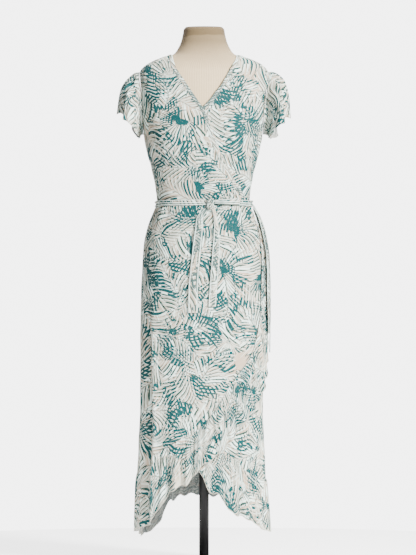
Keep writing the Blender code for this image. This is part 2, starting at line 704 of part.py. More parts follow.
def make_skirt(print_cloth):
    top = -SEAM_HALF
    wrap_angles = steps(-90 + seam_gap(0.14), -63, 3.9) + steps(-63, -36, 2.3)[1:] + steps(-36, 40, 5.1)[1:]
    wrap_angles += steps(40, 58, 6)[1:] + steps(58, 75, 2.45)[1:]
    wrap_rows = 11

    def panel(angles, rows, seam_of, layer_of):
        def place(i, j):
            angle = angles[i]
            low = min(seam_of(angle) - SEAM_ALLOWANCE, top - 0.004)
            height = top + (low - top) * (1 - j / rows) ** 1.35
            return on_skirt(angle, height, layer_of(angle, height))

        return place

    cloth(
        "skirt_front_right",
        len(wrap_angles) - 1,
        wrap_rows,
        panel(wrap_angles, wrap_rows, lambda a: seam_height(WRAP_RUFFLE, a), lambda a, h: 0.0),
        print_cloth,
    )

    Corner = namedtuple("Corner", "seam_angle seam_height")
    under_edge = [Corner(*pair) for pair in UNDER_SEAM]
    under_edge += [Corner(row.seam_angle, row.seam_height) for row in UNDER_RUFFLE]
    under_angles = steps(-46, 90 - seam_gap(0.14), 5.2)
    under_rows = 8
    cloth(
        "skirt_front_left",
        len(under_angles) - 1,
        under_rows,
        panel(under_angles, under_rows, lambda a: seam_height(under_edge, a), lambda a, h: -LAYER),
        print_cloth,
    )

    back_angles = steps(90 + seam_gap(0.14), 270 - seam_gap(0.14), 6.5)
    back_rows = 9
    cloth(
        "skirt_back",
        len(back_angles) - 1,
        back_rows,
        panel(back_angles, back_rows, lambda a: seam_height(BACK_RUFFLE, a), lambda a, h: back_layer(a, -1)),
        print_cloth,
    )


def ruffle_length(table, samples=240):
    """How far along the seam each sample lies, so that waves are even along the cloth."""
    last = len(table) - 1
    places = []
    travelled = 0.0
    before = None
    for n in range(samples + 1):
        row = min(n / samples * last, last - 1e-9)
        angle, height = between(table, row, "seam_angle"), between(table, row, "seam_height")
        here = skirt_base(angle, height)
        travelled += (here - before).length if before else 0.0
        before = here
        places.append((row, travelled))
    return places


def between(table, row, wanted):
    """A table's column at a fractional row number, along a smooth curve through its rows."""
    i = min(int(row), len(table) - 2)
    t = row - i
    values = [getattr(table[min(max(n, 0), len(table) - 1)], wanted) for n in (i - 1, i, i + 1, i + 2)]
    a, b, c, d = values
    return b + 0.5 * t * (c - a + t * (2 * a - 5 * b + 4 * c - d + t * (3 * (b - c) + d - a)))


def make_ruffle(name, table, waves, columns, layer_of, print_cloth, steady=None, rows=3):
    """A gathered strip sewn along a panel's edge, with waves that open towards its free edge."""
    places = ruffle_length(table)
    total = places[-1][1]

    def row_at(share):
        wanted = share * total
        for (row_a, far_a), (row_b, far_b) in zip(places, places[1:]):
            if far_b >= wanted:
                return row_a + (row_b - row_a) * (wanted - far_a) / max(far_b - far_a, 1e-9)
        return places[-1][0]

    def place(i, j):
        share = i / columns
        w = 1 - j / rows
        row = row_at(share)
        angle = between(table, row, "seam_angle") * (1 - w) + between(table, row, "hem_angle") * w
        height = between(table, row, "seam_height") * (1 - w) + between(table, row, "hem_height") * w
        calm = steady(between(table, row, "seam_angle")) if steady else 1.0
        calm *= 1 - SIDE_CALM * abs(math.sin(math.radians(angle))) ** 6
        phase = 2 * math.pi * waves.count * share + 0.9 * math.sin(2 * math.pi * 3.3 * share)
        swell = 0.75 + 0.25 * math.sin(2 * math.pi * 4.7 * share + 1.0)
        wave = math.sin(phase) * swell
        out = ON_TOP + 0.0006 + calm * (waves.flare * w ** 1.2 + waves.swing * w * wave)
        height -= calm * waves.unevenness * w * wave
        ends = min(share, 1 - share) * columns
        gap = seam_gap(0.15) * (1 - min(1.0, ends))
        angle += gap if share < 0.5 else -gap
        return on_skirt(angle, height, layer_of(angle) + out)

    return cloth(name, columns, rows, place, print_cloth)


def make_ruffles(print_cloth):
    make_ruffle("ruffle_front_right", WRAP_RUFFLE, WRAP_WAVES, 120, lambda a: 0.0, print_cloth)
    make_ruffle(
        "ruffle_front_left",
        UNDER_RUFFLE,
        UNDER_WAVES,
        50,
        lambda a: -LAYER - 0.0003,
        print_cloth,
        steady=lambda a: 0.04 + 0.96 * smooth((a + 4) / 30),
    )
    make_ruffle("ruffle_back", BACK_RUFFLE, BACK_WAVES, 80, lambda a: back_layer(a, -1), print_cloth)


# Belt, bow and ties

def make_belt(print_cloth):
    around, rows = 60, 1

    def place(i, j):
        angle = -180 + 360 * (i % around) / around
        return on_skirt(angle, 0.0, BELT_STAND_OFF) + Vector((0, 0, BELT_HEIGHT + TIE_WIDTH * (j / rows - 0.5)))

    cloth("waist_tie", around, rows, place, print_cloth, closed=True)


def belt_front(x):
    """The point of the belt's outer face that has this sideways place, at the waist seam."""
    return on_skirt(angle_at(x, 0.0, on_skirt), 0.0, BELT_STAND_OFF)


def make_knot(print_cloth):
    """The knot: a squeezed ball of cloth whose back lies against the belt."""
    bm = bmesh.new()
    bmesh.ops.create_uvsphere(bm, u_segments=14, v_segments=9, radius=0.5)
    wide, deep, tall = KNOT_SIZE
    for vert in bm.verts:
        x, y, z = vert.co
        pinch = 1 - 0.22 * math.cos(2 * math.pi * z)
        side = KNOT_X + x * wide * pinch
        forward = KNOT_CLEAR + max(0.0, 0.2 - y) / 0.7 * deep * pinch
        height = KNOT_HEIGHT + z * tall
        tails = on_skirt(angle_at(side, min(height, 0.0), on_skirt), min(height, 0.0), TAIL_TOP_STAND_OFF)
        vert.co = (side, min(belt_front(side).y, tails.y) - forward, WAIST_HEIGHT + height)
    return finished("bow_knot", bm, print_cloth)


def make_bow_loop(print_cloth):
    """The bow's loop: a strip that runs out to the wearer's left and folds back on itself."""
    rows = 2
    start = KNOT_X + KNOT_SIZE[0] * 0.5 - 0.0015
    far = max(row.along for row in LOOP_PATH)

    def place(i, j):
        row = LOOP_PATH[i]
        base = belt_front(start + row.along)
        width = TIE_WIDTH * (0.40 + 0.60 * smooth(row.along / far / 0.8))
        height = 0.002 + 0.05 * row.along + width * (j / rows - 0.5)
        return Vector((base.x, base.y - row.forward, WAIST_HEIGHT + height))

    return cloth("bow_loop", len(LOOP_PATH) - 1, rows, place, print_cloth, thickness=0.0010)


def make_tail(name, table, stand_off, print_cloth, rows=14):
    """A hanging end of the tie, in front of the skirt."""

    def place(i, j):
        row = (1 - j / rows) * (len(table) - 1)
        x, height = between(table, row, "x"), between(table, row, "height")
        width = between(table, row, "width")
        crown = 0.0018 if i == 1 else 0.0
        angle = angle_at(x + width * (i / 2 - 0.5), height, on_skirt)
        grown = smooth(-(height + 0.018) / 0.03)
        out = TAIL_TOP_STAND_OFF + (stand_off - TAIL_TOP_STAND_OFF + crown) * grown
        return on_skirt(angle, height, out)

    return cloth(name, 2, rows, place, print_cloth)


def make_side_tie(name, table, print_cloth, rows=14):
    """A tie end that comes out of the wearer's left side seam and hangs over the ruffle."""

    def place(i, j):
        row = (1 - j / rows) * (len(table) - 1)
        height, width = between(table, row, "height"), between(table, row, "width")
        middle = between(table, row, "angle")
        crown = 0.0015 if i == 1 else 0.0
        angle = middle + math.degrees(width * (i / 2 - 0.5) / 0.125)
        return on_skirt(angle, height, between(table, row, "stand_off") + crown)

    return cloth(name, 2, rows, place, print_cloth)


def main():
    for obj in list(bpy.data.objects):
        bpy.data.objects.remove(obj)
    bpy.context.scene.collection.children.link(bpy.data.collections.new(NAME))

    linen = new_material("form linen", (0.79, 0.73, 0.63), 0.85)
    black = new_material("black enamel", (0.012, 0.012, 0.013), 0.42)
    print_cloth = new_material("palm print rayon", (0.70, 0.73, 0.70), 0.72)

    make_form(linen)
    make_stand(black)
    make_bodice(print_cloth)
    make_neck_binding(print_cloth)
    make_sleeve(SLEEVES[0], "sleeve_right", print_cloth)
    make_sleeve(SLEEVES[1], "sleeve_left", print_cloth)
    make_skirt(print_cloth)
    make_ruffles(print_cloth)
    make_belt(print_cloth)
    make_knot(print_cloth)
    make_bow_loop(print_cloth)
    make_tail("tie_tail_right", RIGHT_TAIL, 0.0055, print_cloth)
    make_tail("tie_tail_left", LEFT_TAIL, 0.0055, print_cloth)
    make_side_tie("side_tie_front", SIDE_TIE_FRONT, print_cloth)
    make_side_tie("side_tie_back", SIDE_TIE_BACK, print_cloth)


main()
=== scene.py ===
"""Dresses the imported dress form: a printed wrap dress of thin draped cloth, linen torso and stand.

The wearer faces -Y, so +X is the wearer's left. Angles go round the body in degrees: 0 is the front,
90 the wearer's left, 180 the back and -90 the wearer's right. Heights are in metres from the waist
seam, up positive. Everything that takes an angle and a height takes arrays of them.
"""

import math

import bmesh
import bpy
import numpy as np
from bpy.props import FloatProperty, FloatVectorProperty, PointerProperty
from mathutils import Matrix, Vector


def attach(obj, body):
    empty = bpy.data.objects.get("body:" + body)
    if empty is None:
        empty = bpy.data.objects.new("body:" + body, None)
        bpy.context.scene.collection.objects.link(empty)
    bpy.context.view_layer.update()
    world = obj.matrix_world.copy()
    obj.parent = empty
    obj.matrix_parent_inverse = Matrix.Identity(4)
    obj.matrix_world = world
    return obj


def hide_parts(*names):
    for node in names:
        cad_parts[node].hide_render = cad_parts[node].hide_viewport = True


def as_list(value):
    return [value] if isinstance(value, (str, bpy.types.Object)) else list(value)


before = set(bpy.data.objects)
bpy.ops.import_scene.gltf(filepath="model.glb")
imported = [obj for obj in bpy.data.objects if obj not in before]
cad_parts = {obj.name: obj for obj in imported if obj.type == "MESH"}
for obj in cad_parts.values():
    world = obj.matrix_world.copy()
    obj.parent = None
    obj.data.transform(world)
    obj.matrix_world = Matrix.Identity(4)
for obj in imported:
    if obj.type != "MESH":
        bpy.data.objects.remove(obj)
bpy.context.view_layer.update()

bl_info = {
    "name": "Wrap dress on a dress form",
    "version": (1, 0, 0),
    "blender": (4, 5, 0),
    "location": "View3D > Sidebar > Wrap dress",
    "description": "Builds the cloth, torso, stand and studio of a printed wrap dress",
    "category": "Object",
}

WAIST = 1.018  # height of the waist seam above the floor
LAYER = 0.0048  # how far the under front lies below the wrapping front
SQUARENESS = 0.12  # how much fuller than an ellipse a section of the body is
GIRTH, WAIST_GIRTH, NECK_GIRTH = 0.16, 0.125, 0.09  # radii that turn angles into lengths round the body
SEAM_GAP = 0.0003  # between pieces that meet, in metres
SEAM_ANGLE = 0.2  # the same at the armholes, in degrees
TIE = 0.017  # width of the sash

# Body and cloth sections ------------------------------------------------------------------------

# The torso: height, half width, front depth, back depth
FORM = [
    (-0.283, 0.143, 0.085, 0.100),
    (-0.270, 0.157, 0.098, 0.113),
    (-0.218, 0.163, 0.106, 0.121),
    (-0.178, 0.163, 0.107, 0.122),
    (-0.118, 0.157, 0.104, 0.116),
    (-0.058, 0.141, 0.096, 0.101),
    (0.000, 0.1255, 0.088, 0.086),
    (0.042, 0.128, 0.092, 0.088),
    (0.102, 0.140, 0.105, 0.095),
    (0.152, 0.152, 0.116, 0.100),
    (0.187, 0.159, 0.120, 0.102),
    (0.232, 0.165, 0.113, 0.104),
    (0.282, 0.171, 0.099, 0.104),
    (0.322, 0.176, 0.084, 0.098),
    (0.352, 0.179, 0.073, 0.087),
    (0.372, 0.176, 0.066, 0.078),
    (0.387, 0.166, 0.062, 0.072),
    (0.400, 0.145, 0.058, 0.067),
    (0.412, 0.114, 0.055, 0.064),
    (0.422, 0.086, 0.053, 0.062),
    (0.437, 0.074, 0.052, 0.060),
    (0.457, 0.065, 0.052, 0.057),
    (0.482, 0.059, 0.053, 0.055),
    (0.4915, 0.0575, 0.052, 0.054),
    (0.4985, 0.0515, 0.046, 0.048),
]
# Bust: angle to either side of the front, height, spread in degrees, spread in height, lift
BUST = (33, 0.180, 21, 0.052, 0.013)
# How far the bodice stands off the torso: height, ease at the sides, in front and behind
EASE = [
    (0.000, 0.0075, 0.0125, 0.0060),
    (0.042, 0.0085, 0.0125, 0.0085),
    (0.102, 0.0090, 0.0120, 0.0085),
    (0.152, 0.0100, 0.0110, 0.0070),
    (0.202, 0.0095, 0.0110, 0.0060),
    (0.242, 0.0095, 0.0105, 0.0060),
    (0.282, 0.0090, 0.0100, 0.0056),
    (0.322, 0.0070, 0.0090, 0.0048),
    (0.352, 0.0052, 0.0070, 0.0044),
    (0.372, 0.0040, 0.0056, 0.0042),
    (0.387, 0.0025, 0.0048, 0.0040),
    (0.422, 0.0022, 0.0038, 0.0034),
]
# The skirt: height, half width at the wearer's right and left, front depth, back depth
SKIRT = [
    (-0.950, 0.187, 0.187, 0.152, 0.170),
    (-0.863, 0.190, 0.184, 0.150, 0.167),
    (-0.798, 0.190, 0.180, 0.147, 0.163),
    (-0.728, 0.187, 0.177, 0.143, 0.158),
    (-0.668, 0.184, 0.174, 0.139, 0.154),
    (-0.592, 0.181, 0.171, 0.135, 0.150),
    (-0.518, 0.180, 0.171, 0.132, 0.147),
    (-0.418, 0.180, 0.173, 0.129, 0.144),
    (-0.318, 0.179, 0.175, 0.126, 0.141),
    (-0.218, 0.176, 0.1745, 0.123, 0.137),
    (-0.152, 0.173, 0.1725, 0.121, 0.133),
    (-0.118, 0.170, 0.168, 0.119, 0.128),
    (-0.085, 0.164, 0.162, 0.116, 0.120),
    (-0.051, 0.154, 0.153, 0.112, 0.110),
    (-0.018, 0.141, 0.140, 0.106, 0.099),
    (0.000, 0.133, 0.133, 0.1005, 0.092),
]
# Folds down the skirt: angle, lean, spread, depth, height where each starts and where it is full
HANGING_FOLDS = [
    (-41, 14, 4.2, 0.0085, -0.200, -0.460),
    (-51, 13, 4.8, -0.0140, -0.200, -0.440),
    (-68, 7, 7.0, 0.0060, -0.250, -0.560),
    (-22, 3, 5.0, 0.0035, -0.360, -0.640),
    (-6, 2, 5.5, -0.0030, -0.400, -0.660),
    (12, 0, 5.0, 0.0038, -0.360, -0.640),
    (27, 0, 5.0, -0.0042, -0.380, -0.660),
    (41, 2, 5.0, 0.0042, -0.330, -0.640),
    (56, 2, 5.5, -0.0045, -0.300, -0.600),
    (73, 0, 6.0, 0.0040, -0.300, -0.600),
    (108, 3, 7.0, -0.0075, -0.230, -0.620),
    (124, 3, 7.0, 0.0085, -0.200, -0.620),
    (142, 2, 7.0, -0.0090, -0.180, -0.620),
    (159, 1, 7.0, 0.0085, -0.160, -0.620),
    (177, 0, 7.5, -0.0095, -0.150, -0.620),
    (196, -1, 7.0, 0.0090, -0.160, -0.620),
    (214, -2, 7.0, -0.0085, -0.180, -0.620),
    (232, -3, 7.0, 0.0080, -0.200, -0.620),
    (249, -3, 6.5, -0.0075, -0.230, -0.620),
]
# Short gathers below the waist: angle, spread, depth, length
WAIST_GATHERS = [
    (-80, 2.6, 0.0012, 0.10),
    (-66, 2.2, -0.0012, 0.07),
    (-52, 2.0, 0.0016, 0.12),
    (-41, 2.2, -0.0013, 0.09),
    (-27, 2.4, 0.0015, 0.11),
    (-16, 1.8, -0.0012, 0.06),
    (-4, 2.0, 0.0013, 0.08),
    (9, 2.2, -0.0012, 0.09),
    (22, 2.0, 0.0016, 0.12),
    (34, 2.4, -0.0014, 0.08),
    (47, 2.0, 0.0014, 0.11),
    (61, 2.4, -0.0012, 0.07),
    (104, 3.0, 0.0016, 0.10),
    (121, 2.6, -0.0015, 0.08),
    (137, 2.8, 0.0018, 0.12),
    (151, 2.4, -0.0015, 0.07),
    (168, 2.8, 0.0017, 0.11),
    (183, 2.6, -0.0016, 0.09),
    (199, 2.8, 0.0018, 0.12),
    (216, 2.6, -0.0015, 0.08),
    (231, 2.8, 0.0015, 0.10),
    (248, 2.6, -0.0013, 0.07),
]
# Drag lines on the bodice: angle and height of each end, spread, depth
DRAG_LINES = [
    (-34, 0.150, 52, 0.028, 0.017, 0.0040),
    (-70, 0.090, -6, 0.026, 0.016, 0.0034),
    (24, 0.180, 66, 0.080, 0.016, 0.0030),
    (-62, 0.215, -40, 0.300, 0.016, 0.0026),
    (60, 0.215, 42, 0.300, 0.016, 0.0026),
    (112, 0.040, 165, 0.105, 0.018, 0.0036),
    (248, 0.040, 195, 0.105, 0.018, 0.0036),
]
# Creases on the bodice, finer than the drag lines: the same columns
CREASES = [
    (-46, 0.128, 38, 0.030, 0.0070, 0.0017),
    (-24, 0.166, 44, 0.060, 0.0060, 0.0014),
    (-12, 0.232, 20, 0.120, 0.0065, 0.0016),
    (-74, 0.062, -14, 0.012, 0.0065, 0.0017),
    (-78, 0.112, -38, 0.060, 0.0070, 0.0014),
    (-70, 0.196, -50, 0.262, 0.0065, 0.0016),
    (-58, 0.236, -30, 0.330, 0.0065, 0.0013),
    (70, 0.196, 48, 0.266, 0.0065, 0.0016),
    (34, 0.232, 64, 0.160, 0.0065, 0.0014),
    (56, 0.118, 80, 0.040, 0.0065, 0.0015),
    (30, 0.120, 62, 0.052, 0.0060, 0.0013),
    (-30, 0.060, -6, 0.008, 0.0055, 0.0013),
    (4, 0.066, 22, 0.008, 0.0055, 0.0012),
    (104, 0.086, 150, 0.150, 0.0080, 0.0016),
    (256, 0.086, 210, 0.150, 0.0080, 0.0016),
    (110, 0.022, 160, 0.050, 0.0070, 0.0018),
    (250, 0.022, 200, 0.050, 0.0070, 0.0018),
    (128, 0.010, 176, 0.032, 0.0060, 0.0014),
    (104, 0.200, 128, 0.290, 0.0080, 0.0014),
    (256, 0.200, 232, 0.290, 0.0080, 0.0014),
]
# Edges of the two bodice fronts: height, sideways place
WRAP_EDGE = [
    (0.000, 0.1285),
    (0.034, 0.106),
    (0.085, 0.074),
    (0.138, 0.048),
    (0.192, 0.024),
    (0.242, 0.0075),
    (0.267, -0.0045),
    (0.285, -0.0180),
    (0.313, -0.0365),
    (0.342, -0.0550),
    (0.365, -0.0705),
    (0.390, -0.0830),
    (0.416, -0.0900),
]
UNDER_EDGE = [
    (0.000, -0.108),
    (0.034, -0.096),
    (0.085, -0.074),
    (0.138, -0.048),
    (0.192, -0.024),
    (0.248, -0.0120),
    (0.2665, -0.0038),
    (0.2825, 0.0122),
    (0.306, 0.0305),
    (0.326, 0.0470),
    (0.351, 0.0610),
    (0.379, 0.0750),
    (0.402, 0.0890),
    (0.416, 0.0930),
]
SHOULDER, BACK_DIP = 0.416, 0.007
ARMHOLE_MIDDLE, ARMHOLE_HALF, ARMHOLE_CUT = 0.2835, 0.0865, 18.0

# Ruffles: angle and height of the seam, angle and height of the free edge
WRAP_RUFFLE = [
    (-90, -0.778, -90, -0.915),
    (-77, -0.764, -77, -0.918),
    (-64, -0.748, -63, -0.908),
    (-53, -0.726, -50, -0.899),
    (-46, -0.709, -44, -0.890),
    (-38, -0.693, -37, -0.858),
    (-31, -0.679, -30, -0.828),
    (-25, -0.668, -24, -0.800),
    (-12, -0.648, -12, -0.780),
    (-2, -0.622, -3, -0.738),
    (6, -0.592, 9, -0.707),
    (14, -0.552, 20, -0.674),
    (22, -0.512, 31, -0.622),
    (30, -0.478, 41, -0.590),
    (39, -0.447, 52, -0.564),
    (48, -0.413, 63, -0.533),
    (55, -0.363, 74, -0.478),
    (60, -0.298, 84, -0.408),
    (63, -0.218, 91, -0.328),
    (66, -0.138, 94, -0.228),
    (70, -0.068, 93, -0.138),
    (74, -0.024, 87, -0.070),
    (76, -0.011, 81, -0.034),
]
UNDER_RUFFLE = [
    (-4, -0.622, -4, -0.745),
    (0, -0.645, 0, -0.768),
    (3, -0.657, 3, -0.796),
    (7, -0.672, 7, -0.811),
    (11, -0.680, 11, -0.806),
    (15, -0.686, 15, -0.830),
    (20, -0.697, 20, -0.854),
    (25, -0.710, 25, -0.866),
    (33, -0.736, 33, -0.876),
    (42, -0.755, 42, -0.890),
    (53, -0.767, 53, -0.906),
    (68, -0.777, 68, -0.918),
    (90, -0.780, 90, -0.914),
]
BACK_RUFFLE = [
    (90, -0.780, 90, -0.914),
    (115, -0.765, 115, -0.902),
    (145, -0.735, 145, -0.862),
    (168, -0.722, 168, -0.835),
    (180, -0.720, 180, -0.828),
    (194, -0.724, 194, -0.832),
    (205, -0.730, 205, -0.846),
    (212, -0.735, 211, -0.862),
    (218, -0.740, 217, -0.905),
    (226, -0.747, 226, -0.930),
    (238, -0.757, 239, -0.940),
    (250, -0.767, 250, -0.932),
    (262, -0.776, 262, -0.922),
    (270, -0.778, 270, -0.915),
]
UNDER_SEAM = [(-46, -0.413), (-39, -0.453), (-30, -0.483), (-22, -0.518), (-14, -0.558), (-8, -0.594)]
UNDER_SEAM += [row[:2] for row in UNDER_RUFFLE]
# Waves of each ruffle: count, swing, flare, unevenness of the free edge
WRAP_WAVES = (24, 0.0078, 0.0102, 0.0050)
UNDER_WAVES = (10, 0.0062, 0.0090, 0.004)
BACK_WAVES = (16, 0.0075, 0.0090, 0.007)
SIDE_CALM = 0.68  # how much of the waves is lost at the side seams
RUFFLE_FULLNESS, RUFFLE_CUT = 1.25, 0.135  # gathered length to seam, and depth of the cut strip
RUFFLE_STAND_OFF, RUFFLE_END_GAP = 0.0032, 0.11  # out from the skirt; degrees between two strips' ends
RUFFLE_FOLD, RUFFLE_GATHER, RUFFLE_ROLL = 0.0020, 0.0016, 0.0009  # depths of the finer forms

# Flutter sleeves: side, hem top x and height, hem underside x and height, reach, crest x and height,
# and how far the hem swings out at the back
SLEEVES = {
    "sleeve_right": (-1, 0.2365, 0.258, 0.1795, 0.186, 0.084, 0.232, 0.371, 0.006),
    "sleeve_left": (1, 0.2345, 0.246, 0.1815, 0.186, 0.086, 0.238, 0.384, 0.021),
}
# Where each sleeve was cut from the printed cloth
SLEEVE_PRINT = {"sleeve_right": (-0.30, 0.06), "sleeve_left": (0.37, 0.0)}
# The deep fold beside each armhole in front: turn, share of the way to the hem, depth
DEEP_FOLDS = {"sleeve_right": (1.0, 0.42, 0.012), "sleeve_left": (1.25, 0.25, 0.021)}
LOBE_TURN, LOBE_SPREAD = 1.24 * math.pi, 0.50
# Depths of a sleeve's big waves, small ripples and gathers at the armhole, and its dip below the crest
SLEEVE_SWING, SLEEVE_RIPPLE, SLEEVE_GATHER, SLEEVE_DIP = 0.0098, 0.0027, 0.0009, 0.0075
SLEEVE_ROUND, SLEEVE_CUT = 0.42, 0.13  # length round and depth of the cut sleeve
# Folds that run from the armhole to the hem of a sleeve: turn, width, start, depth
SLEEVE_FOLDS = [
    (0.55, 0.16, 0.10, 0.0090),
    (1.05, 0.14, 0.25, 0.0067),
    (1.60, 0.17, 0.10, 0.0112),
    (2.15, 0.14, 0.30, 0.0067),
    (4.10, 0.16, 0.20, 0.0075),
    (4.75, 0.15, 0.10, 0.0097),
    (5.45, 0.16, 0.25, 0.0075),
]

# Ties in front: sideways place, height, width
TAILS = {
    "tie_tail_right": [
        (0.0118, -0.0086, 0.0090),
        (0.0040, -0.020, 0.0140),
        (-0.0105, -0.040, 0.0200),
        (-0.0140, -0.076, 0.0230),
        (-0.0210, -0.138, 0.0250),
        (-0.0285, -0.220, 0.0270),
        (-0.0305, -0.306, 0.0280),
    ],
    "tie_tail_left": [
        (0.0240, -0.0086, 0.0090),
        (0.0275, -0.020, 0.0090),
        (0.0310, -0.040, 0.0095),
        (0.0345, -0.076, 0.0140),
        (0.0335, -0.132, 0.0220),
        (0.0285, -0.200, 0.0225),
        (0.0227, -0.288, 0.0215),
    ],
}
# Side ties: angle, height, width, stand off
SIDE_TIES = {
    "side_tie_front": [
        (78, -0.0030, 0.016, 0.0058),
        (76, -0.040, 0.018, 0.0100),
        (74, -0.100, 0.021, 0.0120),
        (75, -0.190, 0.023, 0.0125),
        (76, -0.290, 0.024, 0.0130),
        (77, -0.364, 0.024, 0.0135),
    ],
    "side_tie_back": [
        (92, -0.0030, 0.016, 0.0058),
        (91, -0.040, 0.018, 0.0100),
        (90, -0.100, 0.021, 0.0120),
        (90, -0.210, 0.023, 0.0125),
        (90, -0.330, 0.024, 0.0125),
        (90, -0.418, 0.024, 0.0125),
    ],
}
BELT_HEIGHT, BELT_STAND_OFF = 0.0015, 0.0052
TAIL_TOP_STAND_OFF, TAIL_STAND_OFF = 0.0028, 0.0055
TIE_SINK = 0.0004  # how far the outer faces of the sash and side ties lie inside their stand off
KNOT_X, KNOT_HEIGHT, KNOT_SIZE, KNOT_CLEAR = 0.0190, -0.001, (0.0240, 0.0150, 0.0330), 0.0006
# Bow loop in plan: along from the knot, forward from the belt
LOOP_PATH = [
    (0.000, 0.0030),
    (0.012, 0.0026),
    (0.030, 0.0022),
    (0.048, 0.0022),
    (0.060, 0.0026),
    (0.0655, 0.0042),
    (0.0675, 0.0068),
    (0.0655, 0.0094),
    (0.060, 0.0110),
    (0.048, 0.0118),
    (0.030, 0.0112),
    (0.012, 0.0086),
    (0.000, 0.0066),
]


# Curves and places ------------------------------------------------------------------------------


def smooth(t):
    """0 below 0, 1 above 1 and an S curve between them."""
    t = np.clip(t, 0, 1)
    return t * t * (3 - 2 * t)


def bell(away, spread=1.0):
    """1 where away is 0, falling off smoothly over the spread."""
    return np.exp(-((away / spread) ** 2))


def curve(rows, wanted):
    """A monotone curve through one column of a table, read by the first column."""
    rows = sorted(rows, key=lambda row: row[0])
    x = np.array([row[0] for row in rows], float)
    y = np.array([row[wanted] for row in rows], float)
    step = np.diff(y) / np.diff(x)
    slope = np.concatenate([step[:1], np.zeros(len(x) - 2), step[-1:]])
    before, after = step[:-1], step[1:]
    same = before * after > 0
    slope[1:-1][same] = 2 * before[same] * after[same] / (before[same] + after[same])

    def at(value):
        value = np.clip(value, x[0], x[-1])
        i = np.clip(np.searchsorted(x, value) - 1, 0, len(x) - 2)
        h = x[i + 1] - x[i]
        t = (value - x[i]) / h
        start = y[i] * (1 + 2 * t) * (1 - t) ** 2 + slope[i] * h * t * (1 - t) ** 2
        return start + y[i + 1] * t * t * (3 - 2 * t) + slope[i + 1] * h * t * t * (t - 1)

    return at


def between(rows, row, wanted):
    """A table's column at fractional row numbers, along a smooth curve through its rows."""
    values = np.array([r[wanted] for r in rows], float)
    i = np.clip(np.floor(row).astype(int), 0, len(rows) - 2)
    t = row - i
    a, b, c, d = (values[np.clip(i + k, 0, len(rows) - 1)] for k in (-1, 0, 1, 2))
    return b + 0.5 * t * (c - a + t * (2 * a - 5 * b + 4 * c - d + t * (3 * (b - c) + d - a)))


form_half, form_front, form_back = (curve(FORM, n) for n in (1, 2, 3))
ease_side, ease_front, ease_back = (curve(EASE, n) for n in (1, 2, 3))
skirt_right, skirt_left, skirt_front, skirt_rear = (curve(SKIRT, n) for n in (1, 2, 3, 4))
wrap_edge, under_edge = curve(WRAP_EDGE, 1), curve(UNDER_EDGE, 1)


def turned(angle):
    """The same angle between -180 and 180."""
    return (angle + 180) % 360 - 180


def matched(angle, height):
    """Angles and heights as arrays of one shape."""
    return np.broadcast_arrays(np.asarray(angle, float), np.asarray(height, float))


def ring_point(angle, height, half, depth):
    """A horizontal section a little fuller than an ellipse."""
    a = np.radians(angle)
    s, c = np.sin(a), np.cos(a)
    x = half * s * (1 + SQUARENESS * c * c)
    y = -depth * c * (1 + SQUARENESS * s * s)
    return np.stack([x, y, WAIST + height + 0 * x], -1)


def form_point(angle, height):
    """The torso's surface."""
    angle, height = matched(angle, height)
    a = np.radians(angle)
    depth = np.where(np.cos(a) > 0, form_front(height), form_back(height))
    point = ring_point(angle, height, form_half(height), depth)
    middle, level_at, wide, tall, lift = BUST
    for side in (-1, 1):
        bump = bell(height - level_at, tall) * lift * bell(turned(angle) - side * middle, wide)
        point = point + np.stack([np.sin(a), -np.cos(a), 0 * a], -1) * bump[..., None]
    return point


def skirt_base(angle, height):
    """The skirt's surface before its folds."""
    angle, height = matched(angle, height)
    a = np.radians(angle)
    half = np.where(np.sin(a) > 0, skirt_left(height), skirt_right(height))
    depth = np.where(np.cos(a) > 0, skirt_front(height), skirt_rear(height))
    return ring_point(angle, height, half, depth)


def normal_at(surface, angle, height):
    """Which way a surface faces; level close to the waist, so that bodice and skirt meet."""
    across = surface(angle + 1.0, height) - surface(angle - 1.0, height)
    up = surface(angle, height + 0.003) - surface(angle, height - 0.003)
    normal = np.cross(across, up)
    normal /= np.linalg.norm(normal, axis=-1, keepdims=True)
    normal[..., 2] *= smooth(np.abs(height) / 0.05)
    return normal / np.linalg.norm(normal, axis=-1, keepdims=True)


def hanging(angle, height):
    """Depth of the folds that hang down the skirt."""
    total = 0.0
    for place, lean, spread, depth, starts, full in HANGING_FOLDS:
        grown = smooth((starts - height) / (starts - full))
        away = turned(angle - (place - lean * (height + 0.9))) / spread
        total = total + depth * grown * bell(away)
    return total


def gathers(angle, height):
    """Depth of the short gathers below the waist."""
    total = 0.0
    for place, spread, depth, length in WAIST_GATHERS:
        away = turned(angle - place) / (spread * (1 - height * 4))
        shown = smooth(-height / 0.012) * np.exp(-np.minimum(-height / length, 8.0) ** 1.4)
        total = total + depth * shown * bell(away)
    return total


def lines(table, angle, height):
    """Depth of the straight folds of a table, each highest at its middle."""
    total = 0.0
    for angle_a, height_a, angle_b, height_b, spread, depth in table:
        around = angle % 360 if angle_a > 90 else turned(angle)
        ax, bx = math.radians(angle_a) * GIRTH, math.radians(angle_b) * GIRTH
        dx, dh = bx - ax, height_b - height_a
        x, h = np.radians(around) * GIRTH - ax, height - height_a
        inside = np.clip((x * dx + h * dh) / (dx * dx + dh * dh), 0, 1)
        away = np.hypot(x - dx * inside, h - dh * inside) / spread
        total = total + depth * np.sin(np.pi * inside) ** 0.7 * bell(away)
    return total


def crumple(u, v, seed, size, depth):
    """Gentle irregular unevenness of soft cloth."""
    rng = np.random.default_rng(seed)
    total = 0.0
    for _ in range(8):
        turn, rate, phase, drift = rng.uniform(0, 1, 4) * (2 * np.pi, 1.2, 2 * np.pi, 2 * np.pi)
        rate = 2 * np.pi / (size * (0.55 + rate))
        along = u * np.cos(turn) + v * np.sin(turn)
        cross = v * np.cos(turn) - u * np.sin(turn)
        total = total + np.sin(rate * along + phase + 1.4 * np.sin(rate * 0.41 * cross + drift))
    return total * depth / 4


